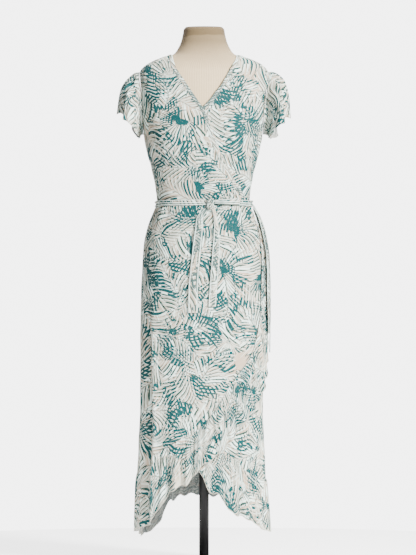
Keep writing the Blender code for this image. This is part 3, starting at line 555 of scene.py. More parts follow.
def on_bodice(angle, height, out=0.0):
    """The bodice's surface, moved outwards by out."""
    a = np.radians(angle)
    share = np.sin(a) ** 2
    ease = share * ease_side(height)
    ease = ease + (1 - share) * np.where(np.cos(a) > 0, ease_front(height), ease_back(height))
    out = ease + out + smooth(height / 0.03) * lines(DRAG_LINES, angle, height)
    return form_point(angle, height) + normal_at(form_point, angle, height) * out[..., None]


def on_skirt(angle, height, out=0.0):
    """The skirt's surface with its hanging folds, moved outwards by out."""
    out = out + hanging(angle, height) + 0 * angle
    return skirt_base(angle, height) + normal_at(skirt_base, angle, height) * out[..., None]


def bodice_creases(angle, height):
    around = np.radians(turned(angle)) * GIRTH
    depth = bpy.context.scene.wrap_dress_cloth.crumple
    soft = crumple(around, height, 7, 0.055, depth)
    return smooth(height / 0.012) * (lines(CREASES, angle, height) + soft)


def skirt_creases(angle, height):
    around = np.radians(turned(angle)) * GIRTH
    depth = bpy.context.scene.wrap_dress_cloth.crumple
    soft = crumple(around * 1.5, height * 0.55, 3, 0.060, depth)
    return gathers(angle, height) + smooth(-height / 0.02) * soft


def under_layer(height):
    """The under front lies below the wrapping front, and comes out to it towards the shoulder."""
    return -LAYER * (1 - smooth((height - 0.284) / 0.042))


def back_layer(angle, height):
    """The back starts as deep as the under front at the wearer's left side seam."""
    return under_layer(height) * (1 - smooth((angle - 90) / 55))


def angle_at(x, height, surface):
    """The angle on the front at which the surface has this sideways place."""
    low, high = -89.0 + 0 * x, 89.0 + 0 * x
    for _ in range(26):
        middle = (low + high) / 2
        less = surface(middle, height)[..., 0] < x
        low, high = np.where(less, middle, low), np.where(less, high, middle)
    return (low + high) / 2


def armhole_cut(height):
    """How many degrees the armhole takes from the side, in front and behind."""
    t = (height - ARMHOLE_MIDDLE) / ARMHOLE_HALF
    return ARMHOLE_CUT * np.sqrt(np.maximum(0, 1 - t * t))


def flat_place(base, angle, height, middle):
    """Where a point of the cloth lies in the flat cut: along its row from the middle, and up."""

    def length(path, steps):
        total, before = 0.0, path(0)
        for n in range(1, steps + 1):
            here = path(n / steps)
            total, before = total + np.linalg.norm(here - before, axis=-1), here
        return total

    across = length(lambda share: base(middle + (angle - middle) * share, height), 24)
    up = length(lambda share: base(angle, height * share), 12)
    return np.stack([np.sign(angle - middle) * across, np.sign(height) * up], -1)


# Making pieces ----------------------------------------------------------------------------------

MERGE = 1e-5  # vertices closer than this become one


def finished(bm, name):
    """The smooth mesh of a bmesh, which is freed."""
    mesh = bpy.data.meshes.new(name)
    bm.to_mesh(mesh)
    bm.free()
    mesh.shade_smooth()
    return mesh


def vertex_places(mesh):
    """The mesh's vertices as rows of x, y and z."""
    places = np.empty(len(mesh.vertices) * 3)
    mesh.vertices.foreach_get("co", places)
    return places.reshape(-1, 3)


def shape_cloth(mesh, points, flat, share):
    """Moves the vertices to points, and writes their flat places and shares as two UV maps."""
    mesh.vertices.foreach_set("co", points.ravel())
    corner = np.empty(len(mesh.loops), int)
    mesh.loops.foreach_get("vertex_index", corner)
    for layer, places in (("flat cloth", flat), ("share", share)):
        mesh.uv_layers.new(name=layer).data.foreach_set("uv", places[corner].ravel())


def sheet_mesh(name, columns, rows, place, closed=False):
    """A grid of cloth. place takes the shares across and up, and returns points and flat places."""
    bm = bmesh.new()
    bmesh.ops.create_grid(bm, x_segments=columns, y_segments=rows, size=1)
    mesh = finished(bm, name)
    grid = (vertex_places(mesh) + 1) / 2
    across, up = np.rint(grid[:, 0] * columns) / columns, np.rint(grid[:, 1] * rows) / rows
    shape_cloth(mesh, *place(across, up), np.stack([across, up], -1))
    if closed:
        bm = bmesh.new()
        bm.from_mesh(mesh)
        bmesh.ops.remove_doubles(bm, verts=bm.verts, dist=MERGE)
        bm.to_mesh(mesh)
        bm.free()
    return mesh


def placed(name, data):
    """An object of this data, linked to the scene at the origin."""
    obj = bpy.data.objects.new(name, data)
    bpy.context.scene.collection.objects.link(obj)
    return obj


def piece(name, mesh, materials, node, wall=0.0):
    """Names a finished piece, gives it its wall, hangs it on the root body and hides the imported part it
    stands for.
    """
    obj = placed(name, mesh)
    for material in materials:
        mesh.materials.append(material)
    if wall:
        thick = obj.modifiers.new("cloth wall", "SOLIDIFY")
        thick.thickness = wall
        thick.offset = -1
        thick.material_offset = len(materials) - 1
    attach(obj, "root")
    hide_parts(node)
    return obj


def cloth_piece(node, mesh, rests_on, material="palm print", wall_share=1.0):
    """A piece of thin cloth, printed on its outer face."""
    wall = bpy.context.scene.wrap_dress_cloth.wall * wall_share
    # The inner wall takes the reverse material: the unprinted side, darkened with painted shade.
    faces = [bpy.data.materials[name] for name in (material, "palm print reverse")]
    obj = piece("cloth_" + node, mesh, faces, node, wall)
    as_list(rests_on)


def lathe(name, profile, steps, material, node):
    """A turned piece: the profile of radius and height is spun once round."""
    bm = bmesh.new()
    verts = [bm.verts.new((radius, 0, height)) for radius, height in profile]
    edges = [bm.edges.new(pair) for pair in zip(verts, verts[1:])]
    axis = {"cent": (0, 0, 0), "axis": (0, 0, 1), "angle": 2 * math.pi}
    bmesh.ops.spin(bm, geom=verts + edges, steps=steps, use_merge=True, **axis)
    bmesh.ops.remove_doubles(bm, verts=bm.verts, dist=MERGE)
    bmesh.ops.recalc_face_normals(bm, faces=bm.faces)
    piece(name, finished(bm, name), [material], node)


# Torso and stand --------------------------------------------------------------------------------

NECK_CROWN = 0.0015  # how far the middle of the neck's top stands up
# Turned profiles of the stand: radius, height
POLE_TOP = WAIST + FORM[0][0] - SEAM_GAP
POLE = [(0, 0.0243), (0.0132, 0.0243), (0.0140, 0.0251)]
POLE += [(0.0140, POLE_TOP - 0.0008), (0.0132, POLE_TOP), (0, POLE_TOP)]
BASE = [(0, 0), (0.186, 0), (0.1893, 0.0012), (0.190, 0.0035), (0.1893, 0.0072), (0.1865, 0.0096)]
BASE += [(0.180, 0.0112), (0.150, 0.0134), (0.110, 0.0159), (0.075, 0.0181), (0.052, 0.0200)]
BASE += [(0.038, 0.0222), (0.031, 0.0236), (0.024, 0.0240), (0, 0.0240)]


def make_torso():
    low, high = FORM[0][0], FORM[-1][0]

    def place(across, up):
        share = smooth(up) * 0.35 + up * 0.65
        height = low + (high - low) * share
        angle = -180 + 360 * (across % 1.0)
        point = form_point(angle, height)
        return point, np.stack([np.radians(angle) * GIRTH, height], -1)

    mesh = sheet_mesh("form_linen", 160, 220, place, closed=True)
    bm = bmesh.new()
    bm.from_mesh(mesh)
    for height, crown in ((low, 0.0), (high, NECK_CROWN)):
        rim = [e for e in bm.edges if e.is_boundary and abs(e.verts[0].co.z - WAIST - height) < 1e-4]
        made = bmesh.ops.edgenet_fill(bm, edges=rim)["faces"]
        for vert in bmesh.ops.poke(bm, faces=made)["verts"]:
            vert.co.z += crown
    bmesh.ops.recalc_face_normals(bm, faces=bm.faces)
    bm.to_mesh(mesh)
    bm.free()
    mesh.shade_smooth()
    piece("form_linen_torso", mesh, [bpy.data.materials["form linen"]], "form_torso")


def make_stand():
    enamel = bpy.data.materials["black enamel"]
    lathe("stand_pole_tube", POLE, 48, enamel, "stand_pole")
    lathe("stand_base_disc", BASE, 96, enamel, "stand_base")


# Bodice -----------------------------------------------------------------------------------------

# Heights of the rows of the bodice's panels
FRONT_HEIGHTS = [0.0, 0.026, 0.052, 0.080, 0.108, 0.136, 0.162, 0.187, 0.200, 0.222, 0.250, 0.278, 0.306]
FRONT_HEIGHTS += [0.330, 0.352, 0.366, 0.376, 0.387, 0.400, 0.410, 0.416]


def panel_heights(up):
    """Heights of a bodice panel's rows, from shares of their number."""
    heights = np.interp(up * (len(FRONT_HEIGHTS) - 1), np.arange(len(FRONT_HEIGHTS)), FRONT_HEIGHTS)
    return np.maximum(heights, SEAM_GAP)


def by_height(make, height):
    """Works something out once for each different height."""
    levels, where = np.unique(np.round(height, 6), return_inverse=True)
    return make(levels)[where.reshape(height.shape)]


def front_panel(edge, side, layer_of, shift):
    """A bodice front from the side seam and armhole to its slanting edge."""

    def place(across, up):
        height = panel_heights(up)
        outer = side * (90 - armhole_cut(height) - SEAM_ANGLE)
        inner = by_height(lambda levels: angle_at(edge(levels), levels, on_bodice), height)
        share = across if side < 0 else 1 - across
        angle = outer + (inner - outer) * share
        point = on_bodice(angle, height, layer_of(height) + bodice_creases(angle, height))
        return point, flat_place(form_point, angle, height, 0.0) + shift

    return place


def back_panel(across, up):
    height = panel_heights(up)
    first = 90 + armhole_cut(height) + SEAM_ANGLE
    angle = first + (360 - 2 * first) * across
    dip = BACK_DIP * smooth((height - 0.36) / 0.056) * np.sin(np.radians(angle - 90)) ** 2
    point = on_bodice(angle, height - dip, back_layer(angle, height) + bodice_creases(angle, height))
    return point, flat_place(form_point, angle, height, 180.0) + 0.63


def outermost(place):
    """The layer of a panel with nothing over it, for as many places."""
    return 0 * place


def make_bodice():
    shapes = {
        "bodice_front_right": front_panel(wrap_edge, -1, outermost, 0.0),
        "bodice_front_left": front_panel(under_edge, 1, under_layer, 0.31),
        "bodice_back": back_panel,
    }
    for node, place in shapes.items():
        cloth_piece(node, sheet_mesh(node, 100, 120, place), ["form_torso"])


BINDING_END = 0.0004  # how far below the shoulder's top the front bindings end
# Neck binding across its width: inset from the edge, lift from the panel
BINDING_PROFILE = [
    (0.0095, 0.0004),
    (0.0092, 0.0010),
    (0.0080, 0.0013),
    (0.0060, 0.0014),
    (0.0035, 0.0014),
    (0.0015, 0.0013),
    (0.0000, 0.0008),
    (-0.0005, 0.0000),
    (-0.0002, -0.0012),
    (0.0030, -0.0016),
]


def binding_across(share):
    """Inset and lift at a share of the binding's width."""
    row = share * (len(BINDING_PROFILE) - 1)
    return between(BINDING_PROFILE, row, 0), between(BINDING_PROFILE, row, 1)


def pucker(along):
    """The small waves that the binding's stitches pull."""
    return 0.00016 * np.sin(along / 0.0042 * 2 * np.pi) + 0.00022 * np.sin(along / 0.013 * 2 * np.pi + 1)


def make_bindings():
    def front(edge, side, lowest, layer_of):
        def place(across, up):
            height = lowest + (SHOULDER - BINDING_END - lowest) * up
            inset, lift = binding_across(across if side < 0 else 1 - across)
            slope = (edge(height + 0.002) - edge(height - 0.002)) / 0.004
            x = edge(height) + side * inset * np.sqrt(1 + slope * slope)
            angle = np.clip(angle_at(x, height, on_bodice), -89.7, 89.7)
            out = layer_of(height) + bodice_creases(angle, height) + lift + pucker(height)
            flat = np.stack([inset + 0.05, height * 1.25], -1)
            return on_bodice(angle, height, out), flat

        return place

    def back(across, up):
        inset, lift = binding_across(up)
        angle = 90.4 + 179.2 * across
        edge = SHOULDER - BACK_DIP * np.sin(np.radians(angle - 90)) ** 2
        fall = np.linalg.norm(form_point(angle, edge) - form_point(angle, edge - 0.004), axis=-1)
        height = edge - inset * 0.004 / fall
        around = np.radians(angle) * NECK_GIRTH
        out = back_layer(angle, height) + bodice_creases(angle, height) + lift + pucker(around)
        return on_bodice(angle, height, out), np.stack([around, inset], -1)

    shapes = {
        "neck_binding_right": (18, 300, front(wrap_edge, -1, 0.016, outermost), "bodice_front_right"),
        "neck_binding_left": (18, 130, front(under_edge, 1, 0.250, under_layer), "bodice_front_left"),
        "neck_binding_back": (160, 18, back, "bodice_back"),
    }
    for node, (columns, rows, place, panel) in shapes.items():
        cloth_piece(node, sheet_mesh(node, columns, rows, place), [panel], "palm binding", 0.5)


def oval(side, high, low, deep, turn):
    """An upright ring round an arm's place: sideways place and height of its top and of its underside."""
    x = side * ((high[0] + low[0]) / 2 + (high[0] - low[0]) / 2 * np.cos(turn))
    z = WAIST + (high[1] + low[1]) / 2 + (high[1] - low[1]) / 2 * np.cos(turn)
    return np.stack([x, -deep * np.sin(turn), z], -1)


def sleeve_depth(node, side, turn, w):
    """How far the waves and folds of a sleeve lift it, and the part of that which swings its hem."""
    opened = 0.40 + 0.60 * np.cos(turn / 2) ** 2
    wave = np.sin(6 * turn + 0.7 + 0.5 * np.sin(2 * turn))
    swing = SLEEVE_SWING * w * w * wave * opened
    fine = SLEEVE_RIPPLE * np.sin(17 * turn + 2 * np.sin(3 * turn)) * np.sin(np.pi * w) * opened
    gather = SLEEVE_GATHER * np.sin(38 * turn) * np.exp(-w * 9) * smooth(w * 12)
    rough = crumple(turn * 0.07, w * 0.12, 11 + side, 0.05, 0.0012) * smooth(w * 6)
    valley = 0.0
    for middle, wide, start, depth in SLEEVE_FOLDS:
        away = (turn - middle - (w - 0.5) * 0.3) / wide
        valley = valley - depth * bell(away) * smooth((w - start) / 0.35)
    dip = -SLEEVE_DIP * bell(w - 0.26, 0.15) * (0.35 + 0.65 * np.abs(np.sin(turn)))
    deep_turn, deep_w, deep = DEEP_FOLDS[node]
    dip = dip - deep * bell(turn - deep_turn, 0.62) * bell(w - deep_w, 0.13) * smooth(w * 9)
    return swing + fine + gather + rough + valley + dip, swing


def sleeve(node):
    """A flutter sleeve: turn goes round it from its top to the front, w from the armhole to the hem."""
    side, top_x, top_h, under_x, under_h, reach, crest_x, crest_h, lobe = SLEEVES[node]
    print_u, print_v = SLEEVE_PRINT[node]

    def place(across, up):
        share = across if side < 0 else 1 - across
        turn = 2 * np.pi * (share % 1.0)
        w = 1 - up
        height = ARMHOLE_MIDDLE + (ARMHOLE_HALF + 0.0006) * np.cos(turn)
        angle = side * (90 - (ARMHOLE_CUT + 0.4) * np.sin(turn))
        layer = 0 * angle if side < 0 else back_layer(angle, height)
        seam = on_bodice(angle, height, layer + 0.0013)
        control = oval(side, (crest_x, crest_h), (under_x - 0.001, under_h + 0.012), reach * 0.72, turn)
        hem = oval(side, (top_x, top_h), (under_x, under_h), reach, turn)
        t = w[:, None]
        point = seam * (1 - t) ** 2 + control * (2 * t * (1 - t)) + hem * t * t
        outward = np.stack([side * (0.55 + 0.45 * np.cos(turn)), -np.sin(turn), 0 * turn], -1)
        outward /= np.linalg.norm(outward, axis=-1, keepdims=True)
        depth, swing = sleeve_depth(node, side, turn, w)
        point = point + outward * depth[:, None]
        point[:, 0] += side * lobe * w * w * bell(turn - LOBE_TURN, LOBE_SPREAD)
        point[:, 2] -= np.abs(swing) * 0.5
        flat = np.stack([(share - 0.25) * SLEEVE_ROUND + print_u, print_v - w * SLEEVE_CUT], -1)
        return point, flat

    return place


def make_sleeves():
    for node in SLEEVES:
        mesh = sheet_mesh(node, 220, 48, sleeve(node), closed=True)
        cloth_piece(node, mesh, ["bodice_back"])


# Skirt ------------------------------------------------------------------------------------------


def under_skirt(angle):
    """The layer of the under front."""
    return -LAYER + 0 * angle


def behind(angle):
    """The layer of the back."""
    return back_layer(angle, -1.0)


def skirt_panel(seam, first, last, layer_of, middle, shift):
    """A panel between two angles, from the waist down to just past its ruffle's seam."""
    seam_height = curve(seam, 1)

    def place(across, up):
        angle = first + (last - first) * across
        low = np.minimum(by_height(seam_height, angle) - 0.004, -0.0043)
        height = -SEAM_GAP + (low + SEAM_GAP) * (1 - up) ** 1.2
        point = on_skirt(angle, height, layer_of(angle) + skirt_creases(angle, height))
        return point, flat_place(skirt_base, angle, height, middle) + np.array([shift, 0])

    return place


def make_skirt():
    shapes = {
        "skirt_front_right": (190, 200, skirt_panel(WRAP_RUFFLE, -89.8, 75, outermost, 0, 0.13)),
        "skirt_front_left": (100, 110, skirt_panel(UNDER_SEAM, -46, 89.8, under_skirt, 0, 0.71)),
        "skirt_back": (160, 150, skirt_panel(BACK_RUFFLE, 90.2, 269.8, behind, 180, 1.4)),
    }
    for node, (columns, rows, place) in shapes.items():
        cloth_piece(node, sheet_mesh(node, columns, rows, place), ["form_torso", "waist_tie"])


def along_seam(table):
    """Turns a share of a seam's length into its fractional row number, and gives that length."""
    row = np.linspace(0, len(table) - 1, 400)
    points = skirt_base(between(table, row, 0), between(table, row, 1))
    far = np.concatenate([[0], np.cumsum(np.linalg.norm(np.diff(points, axis=0), axis=1))])
    return (lambda share: np.interp(share * far[-1], far, row)), far[-1]


def ruffle(table, waves, layer_of, steady, shift):
    """A gathered strip that hangs from its seam; w is 0 at the seam and 1 at the free edge."""
    count, swing, flare, uneven = waves
    row_at, length = along_seam(table)

    def place(across, up):
        w = 1 - up
        row = row_at(across)
        seam_angle, seam_height = between(table, row, 0), between(table, row, 1)
        angle = seam_angle * (1 - w) + between(table, row, 2) * w
        height = seam_height * (1 - w) + between(table, row, 3) * w
        calm = steady(seam_angle) * (1 - SIDE_CALM * np.abs(np.sin(np.radians(angle))) ** 6)
        phase = 2 * np.pi * count * across + 0.9 * np.sin(2 * np.pi * 3.3 * across)
        wave = np.sin(phase) * (0.75 + 0.25 * np.sin(2 * np.pi * 4.7 * across + 1.0))
        out = RUFFLE_STAND_OFF + calm * (flare * w**1.1 + swing * w**0.8 * wave)
        folds = RUFFLE_FOLD * np.sin(phase * 2.3 + 1.7 * np.sin(phase * 0.31)) * smooth(w * 5) * (1 - 0.4 * w)
        tight = RUFFLE_GATHER * np.sin(phase * 5.1 + 1.1 * np.sin(phase * 0.7))
        tight = tight * np.exp(-w * 7) * smooth(w * 14)
        roll = RUFFLE_ROLL * smooth((w - 0.978) / 0.016)
        height = height - calm * uneven * w * wave
        out = out + folds * (0.35 + 0.65 * calm) + tight + roll
        ends = np.minimum(across, 1 - across) * 90
        gap = RUFFLE_END_GAP * (1 - np.minimum(1, ends))
        angle = angle + np.where(across < 0.5, gap, -gap)
        flat = np.stack([across * length * RUFFLE_FULLNESS + shift, -w * RUFFLE_CUT], -1)
        return on_skirt(angle, height, layer_of(angle) + out), flat

    return place


def full_waves(angle):
    """The outer ruffles wave evenly all along."""
    return 1 + 0 * angle


def waves_past_opening(angle):
    """The under ruffle lies flat where the wrapping front covers its end."""
    return 0.04 + 0.96 * smooth((angle + 4) / 30)


def make_ruffles():
    shapes = {
        "ruffle_front_right": (560, ruffle(WRAP_RUFFLE, WRAP_WAVES, outermost, full_waves, 0.2)),
        "ruffle_front_left": (240, ruffle(UNDER_RUFFLE, UNDER_WAVES, under_skirt, waves_past_opening, 1.9)),
        "ruffle_back": (400, ruffle(BACK_RUFFLE, BACK_WAVES, behind, full_waves, 3.1)),
    }
    for node, (columns, place) in shapes.items():
        panel = node.replace("ruffle", "skirt")
        cloth_piece(node, sheet_mesh(node, columns, 44, place), [panel], "palm ruffle")


# Sash, bow and ties -----------------------------------------------------------------------------


def make_belt():
    """The sash right round the waist, folded lengthways and narrower under the bow."""

    def place(across, up):
        angle = -180 + 360 * (across % 1.0)
        width = TIE * (1 - 0.30 * bell(turned(angle) - 10, 9))
        fold = 0.0017 * np.sin(np.pi * up * 3.0 + 0.6 * np.sin(np.radians(angle) * 3))
        edge = -0.0010 * np.abs(2 * up - 1) ** 6
        soft = crumple(np.radians(angle) * 0.13, up * TIE, 23, 0.035, 0.0005)
        out = BELT_STAND_OFF - TIE_SINK + fold + edge + soft
        point = on_skirt(angle, 0 * angle, out)
        drift = 0.0010 * np.sin(np.radians(angle) * 2 + 1) + 0.0006 * np.sin(np.radians(angle) * 5)
        point[:, 2] += BELT_HEIGHT + width * (up - 0.5) + drift
        return point, np.stack([np.radians(angle) * WAIST_GIRTH, up * TIE + 0.9], -1)

    mesh = sheet_mesh("waist_tie", 320, 18, place, closed=True)
    cloth_piece("waist_tie", mesh, ["form_torso"], "palm belt")


def belt_front(x):
    """The belt's outer face in front, at this sideways place."""
    flat = np.zeros_like(x)
    return on_skirt(angle_at(x, flat, on_skirt), flat, BELT_STAND_OFF)


def make_knot():
    """The knot: a ball pulled in at its middle, its back laid on the sash and the tails."""
    bm = bmesh.new()
    bmesh.ops.create_uvsphere(bm, u_segments=72, v_segments=48, radius=0.5)
    mesh = finished(bm, "bow_knot")
    x, y, z = vertex_places(mesh).T
    wide, deep, tall = KNOT_SIZE
    wrap = 1 - 0.22 * np.cos(2 * np.pi * z) + 0.07 * np.sin(x * 24 + z * 8) * (np.abs(z) < 0.5)
    side = KNOT_X + x * wide * wrap
    forward = KNOT_CLEAR + np.maximum(0, 0.2 - y) / 0.7 * deep * wrap
    height = KNOT_HEIGHT + z * tall
    low = np.minimum(height, 0.0)
    tails = on_skirt(angle_at(side, low, on_skirt), low, TAIL_TOP_STAND_OFF)
    back = np.minimum(belt_front(side)[:, 1], tails[:, 1])
    points = np.stack([side, back - forward, WAIST + height], -1)
    flat = np.stack([x * 0.05 + 0.4, z * 0.04 + 0.2], -1)
    shape_cloth(mesh, points, flat, np.stack([x + 0.5, z + 0.5], -1))
    piece("cloth_bow_knot", mesh, [bpy.data.materials["palm tie"]], "bow_knot")


def make_loop():
    """The bow's loop: out from the knot along the sash and back in front of itself."""
    start, far = KNOT_X + KNOT_SIZE[0] * 0.5 - 0.0015, max(row[0] for row in LOOP_PATH)

    def place(across, up):
        row = (1 - across) * (len(LOOP_PATH) - 1)
        along, forward = between(LOOP_PATH, row, 0), between(LOOP_PATH, row, 1)
        base = belt_front(start + along)
        width = TIE * (0.40 + 0.60 * smooth(along / far / 0.8))
        height = 0.002 + 0.05 * along + width * (up - 0.5)
        crease = 0.0010 * np.sin(up * 9 + 1) * np.exp(-along / 0.025)
        crease = crease + 0.0005 * np.sin(up * 5 + along * 90)
        point = np.stack([base[:, 0], base[:, 1] - forward - crease, WAIST + height], -1)
        return point, np.stack([across * 0.15 + 2.2, up * TIE], -1)

    cloth_piece("bow_loop", sheet_mesh("bow_loop", 96, 20, place), ["bow_knot"], "palm belt")


def tail(table):
    """An end of the bow that hangs in front of the skirt."""

    def place(across, up):
        row = (1 - up) * (len(table) - 1)
        x, height, width = (between(table, row, n) for n in range(3))
        crown = 0.0015 * (1 - (2 * across - 1) ** 2) + 0.0007 * np.sin(9 * across + height * 40)
        angle = angle_at(x + width * (across - 0.5), height, on_skirt)
        grown = smooth(-(height + 0.018) / 0.03)
        sway = 0.0012 * np.sin(height * 38 + x * 60)
        out = TAIL_TOP_STAND_OFF + (TAIL_STAND_OFF - TAIL_TOP_STAND_OFF + crown + sway) * grown
        flat = np.stack([across * 0.026 + 1.1 + table[-1][0] * 9, height], -1)
        return on_skirt(angle, height, out), flat

    return place


def side_tie(table):
    """A tie that hangs from the sash at the wearer's left side."""

    def place(across, up):
        row = (1 - up) * (len(table) - 1)
        middle, height, width, stand_off = (between(table, row, n) for n in range(4))
        crown = 0.0013 * (1 - (2 * across - 1) ** 2) + 0.0006 * np.sin(8 * across + height * 33)
        angle = middle + np.degrees(width * (across - 0.5) / WAIST_GIRTH)
        flat = np.stack([across * 0.024 + 0.5 + middle * 0.02, height], -1)
        return on_skirt(angle, height, stand_off + crown - TIE_SINK), flat

    return place


def make_ties():
    groups = [
        (TAILS, tail, 150, ["bow_knot", "skirt_front_right"]),
        (SIDE_TIES, side_tie, 170, ["waist_tie", "ruffle_front_right"]),
    ]
    for tables, shape, rows, rests_on in groups:
        for node, table in tables.items():
            mesh = sheet_mesh(node, 20, rows, shape(table))
            cloth_piece(node, mesh, rests_on, "palm tie")


# Materials --------------------------------------------------------------------------------------


class Value:
    """A number that varies over a surface. Operators on it add Math nodes to its tree."""

    def __init__(self, shader, socket):
        self.shader, self.socket = shader, socket

    def math(self, operation, *others, clamp=False):
        return self.shader.math(operation, self, *others, clamp=clamp)

    def __add__(self, other):
        return self.math("ADD", other)

    __radd__ = __add__

    def __sub__(self, other):
        return self.math("SUBTRACT", other)

    def __rsub__(self, other):
        return self.shader.math("SUBTRACT", other, self)

    def __mul__(self, other):
        return self.math("MULTIPLY", other)

    __rmul__ = __mul__

    def __truediv__(self, other):
        return self.math("DIVIDE", other)

    def __rtruediv__(self, other):
        return self.shader.math("DIVIDE", other, self)

    def __pow__(self, other):
        return self.math("POWER", other)

    def __lt__(self, other):
        return self.math("LESS_THAN", other)

    def __gt__(self, other):
        return self.math("GREATER_THAN", other)

    def __abs__(self):
        return self.math("ABSOLUTE")

    def fract(self):
        return self.math("FRACT")

    def floor(self):
        return self.math("FLOOR")

    def sin(self):
        return self.math("SINE")

    def cos(self):
        return self.math("COSINE")

    def most(self, other):
        return self.math("MAXIMUM", other)

    def limited(self):
        return self.math("ADD", 0.0, clamp=True)

    def ramp(self, low, high):
        """0 at low and 1 at high, kept between them."""
        return ((self - low) * (1.0 / (high - low))).limited()


class Shader:
    """The node tree of one material."""

    def __init__(self, name, roughness, **settings):
        self.material = bpy.data.materials.new(name)
        self.material.use_nodes = True
        self.tree = self.material.node_tree
        self.surface = self.tree.nodes["Principled BSDF"]
        self.surface.inputs["Roughness"].default_value = roughness
        for socket, value in settings.items():
            self.surface.inputs[socket.replace("_", " ")].default_value = value

    def node(self, kind, settings=None, inputs=None):
        """Adds a node, sets its settings first and then its sockets, by a value or a link."""
        node = self.tree.nodes.new("ShaderNode" + kind)
        for name, value in (settings or {}).items():
            setattr(node, name, value)
        for name, value in (inputs or {}).items():
            socket = node.inputs[name]
            if isinstance(value, Value):
                self.tree.links.new(value.socket, socket)
            elif isinstance(value, bpy.types.NodeSocket):
                self.tree.links.new(value, socket)
            else:
                socket.default_value = value
        return node

    def math(self, operation, *values, clamp=False):
        inputs = dict(enumerate(values))
        node = self.node("Math", {"operation": operation, "use_clamp": clamp}, inputs)
        return Value(self, node.outputs[0])

    def vector(self, operation, a, b):
        return self.node("VectorMath", {"operation": operation}, {0: a, 1: b}).outputs[0]

    def parts(self, vector):
        node = self.node("SeparateXYZ", inputs={0: vector})
        return [Value(self, socket) for socket in node.outputs]

    def moved(self, vector, shift, scale=(1, 1, 1), turn=0.0):
        inputs = {"Vector": vector, "Location": shift, "Rotation": (0, 0, turn), "Scale": scale}
        return self.node("Mapping", inputs=inputs).outputs[0]

    def mix(self, factor, a, b, kind="MIX"):
        """Blends two colours. A plain colour holds three numbers."""
        settings = {"data_type": "RGBA", "blend_type": kind, "clamp_factor": True}
        full = [c if isinstance(c, bpy.types.NodeSocket) else (*c, 1.0) for c in (a, b)]
        return self.node("Mix", settings, {0: factor, 6: full[0], 7: full[1]}).outputs[2]

    def noise(self, vector, scale, detail=3.0, rough=0.55, dimensions="2D"):
        settings = {"noise_dimensions": dimensions}
        inputs = {"Vector": vector, "Scale": scale, "Detail": detail, "Roughness": rough}
        return Value(self, self.node("TexNoise", settings, inputs).outputs[0])

    def wave(self, direction, vector, scale, distortion, detail=2.0):
        settings = {"bands_direction": direction}
        inputs = {"Vector": vector, "Scale": scale, "Distortion": distortion, "Detail": detail}
        return Value(self, self.node("TexWave", settings, inputs).outputs["Fac"])

    def link(self, name, value):
        self.tree.links.new(getattr(value, "socket", value), self.surface.inputs[name])

    def bump(self, height, depth, strength=1.0, normal=None):
        inputs = {"Height": height, "Distance": depth, "Strength": strength}
        if normal is not None:
            inputs["Normal"] = normal
        return self.node("Bump", inputs=inputs).outputs[0]


def swayed(shader, flat, scale, amount):
    """The cloth's places, drifting a little, so that no leaf is ruled straight."""
    inputs = {"Vector": flat, "Scale": scale, "Detail": 1.0}
    drift = shader.node("TexNoise", {"noise_dimensions": "2D"}, inputs).outputs["Color"]
    centred = shader.vector("SUBTRACT", drift, (0.5, 0.5, 0.5))
    return shader.vector("ADD", flat, shader.vector("MULTIPLY", centred, (amount, amount, 0)))


def leaves(shader, flat, cell, shift):
    """Scatters leaves over the cloth, one to each cell, each turned its own way.

    Returns how far a point is along its leaf and across it, and three random numbers of the leaf.
    """
    moved = shader.moved(flat, shift)
    scatter = {"voronoi_dimensions": "2D", "feature": "F1"}
    cells = shader.node("TexVoronoi", scatter, {"Vector": moved, "Scale": 1 / cell, "Randomness": 0.9})
    split = shader.node("SeparateColor", inputs={0: cells.outputs["Color"]})
    chance = [Value(shader, socket) for socket in split.outputs]
    x, y, _ = shader.parts(shader.vector("SUBTRACT", moved, cells.outputs["Position"]))
    turn = chance[0] * (2 * math.pi)
    c, s = turn.cos(), turn.sin()
    return x * c + y * s, y * c - x * s, chance


def scrambled(seed):
    """A random number for each seed."""
    return (seed.sin() * 43758.5453).fract()


def leaflets(stripe, t, dice):
    """Pointed leaflets side by side, one to each whole number of stripe, from root to tip as t grows.

    Returns each one's pale body, its teal form, its brush stroke and its light edge.
    """
    off, other = stripe.fract() - 0.5, (dice * 7.3).fract()
    width = (1.0 - t) ** 0.5 * (0.30 + 0.08 * dice) * t.ramp(-0.02, 0.14)
    body = (width - abs(off - 0.08)).ramp(0.0, 0.05)
    fat = (width - abs(off - 0.05)).ramp(-0.05, 0.0)
    part = ((t - 0.22 * other) / (0.45 + 0.40 * dice)).limited()
    brush = (part * (1.0 - part) * 4.0) ** 0.6 * (0.135 + 0.11 * other)
    stroke = (brush - abs(off + 0.27)).ramp(-0.01, 0.02)
    light = ((1.0 - t) ** 0.5 * 0.09 - abs(off - 0.40)).ramp(-0.02, 0.02)
    return body, fat, stroke, light


def feather(shader, flat, cell, shift, pitch, slant, curl, bend, reach):
    """Feathered palm leaves: leaflets that arch away on both sides of a curved rib.

    Returns what leaflets returns, then a random number of the leaf, one of the leaflet, and t.
    """
    x, y, chance = leaves(shader, flat, cell, shift)
    y = y - (chance[1] - 0.5) * bend * x * x
    off, upper = abs(y), y > 0.0
    start = x - off * (1.0 / math.tan(math.radians(slant))) + off * off * (curl / cell)
    stripe = start * (1.0 / pitch) + upper * 0.5
    dice = scrambled(stripe.floor() * 12.9898 + chance[0] * 78.2 + upper * 37.7)
    t = (off / ((reach + 0.26 * dice) * cell)).limited()
    body, fat, stroke, light = leaflets(stripe, t, dice)
    return body, fat, stroke.most(off.ramp(0.0018, 0.0008) * 0.7), light, chance[2], dice, t


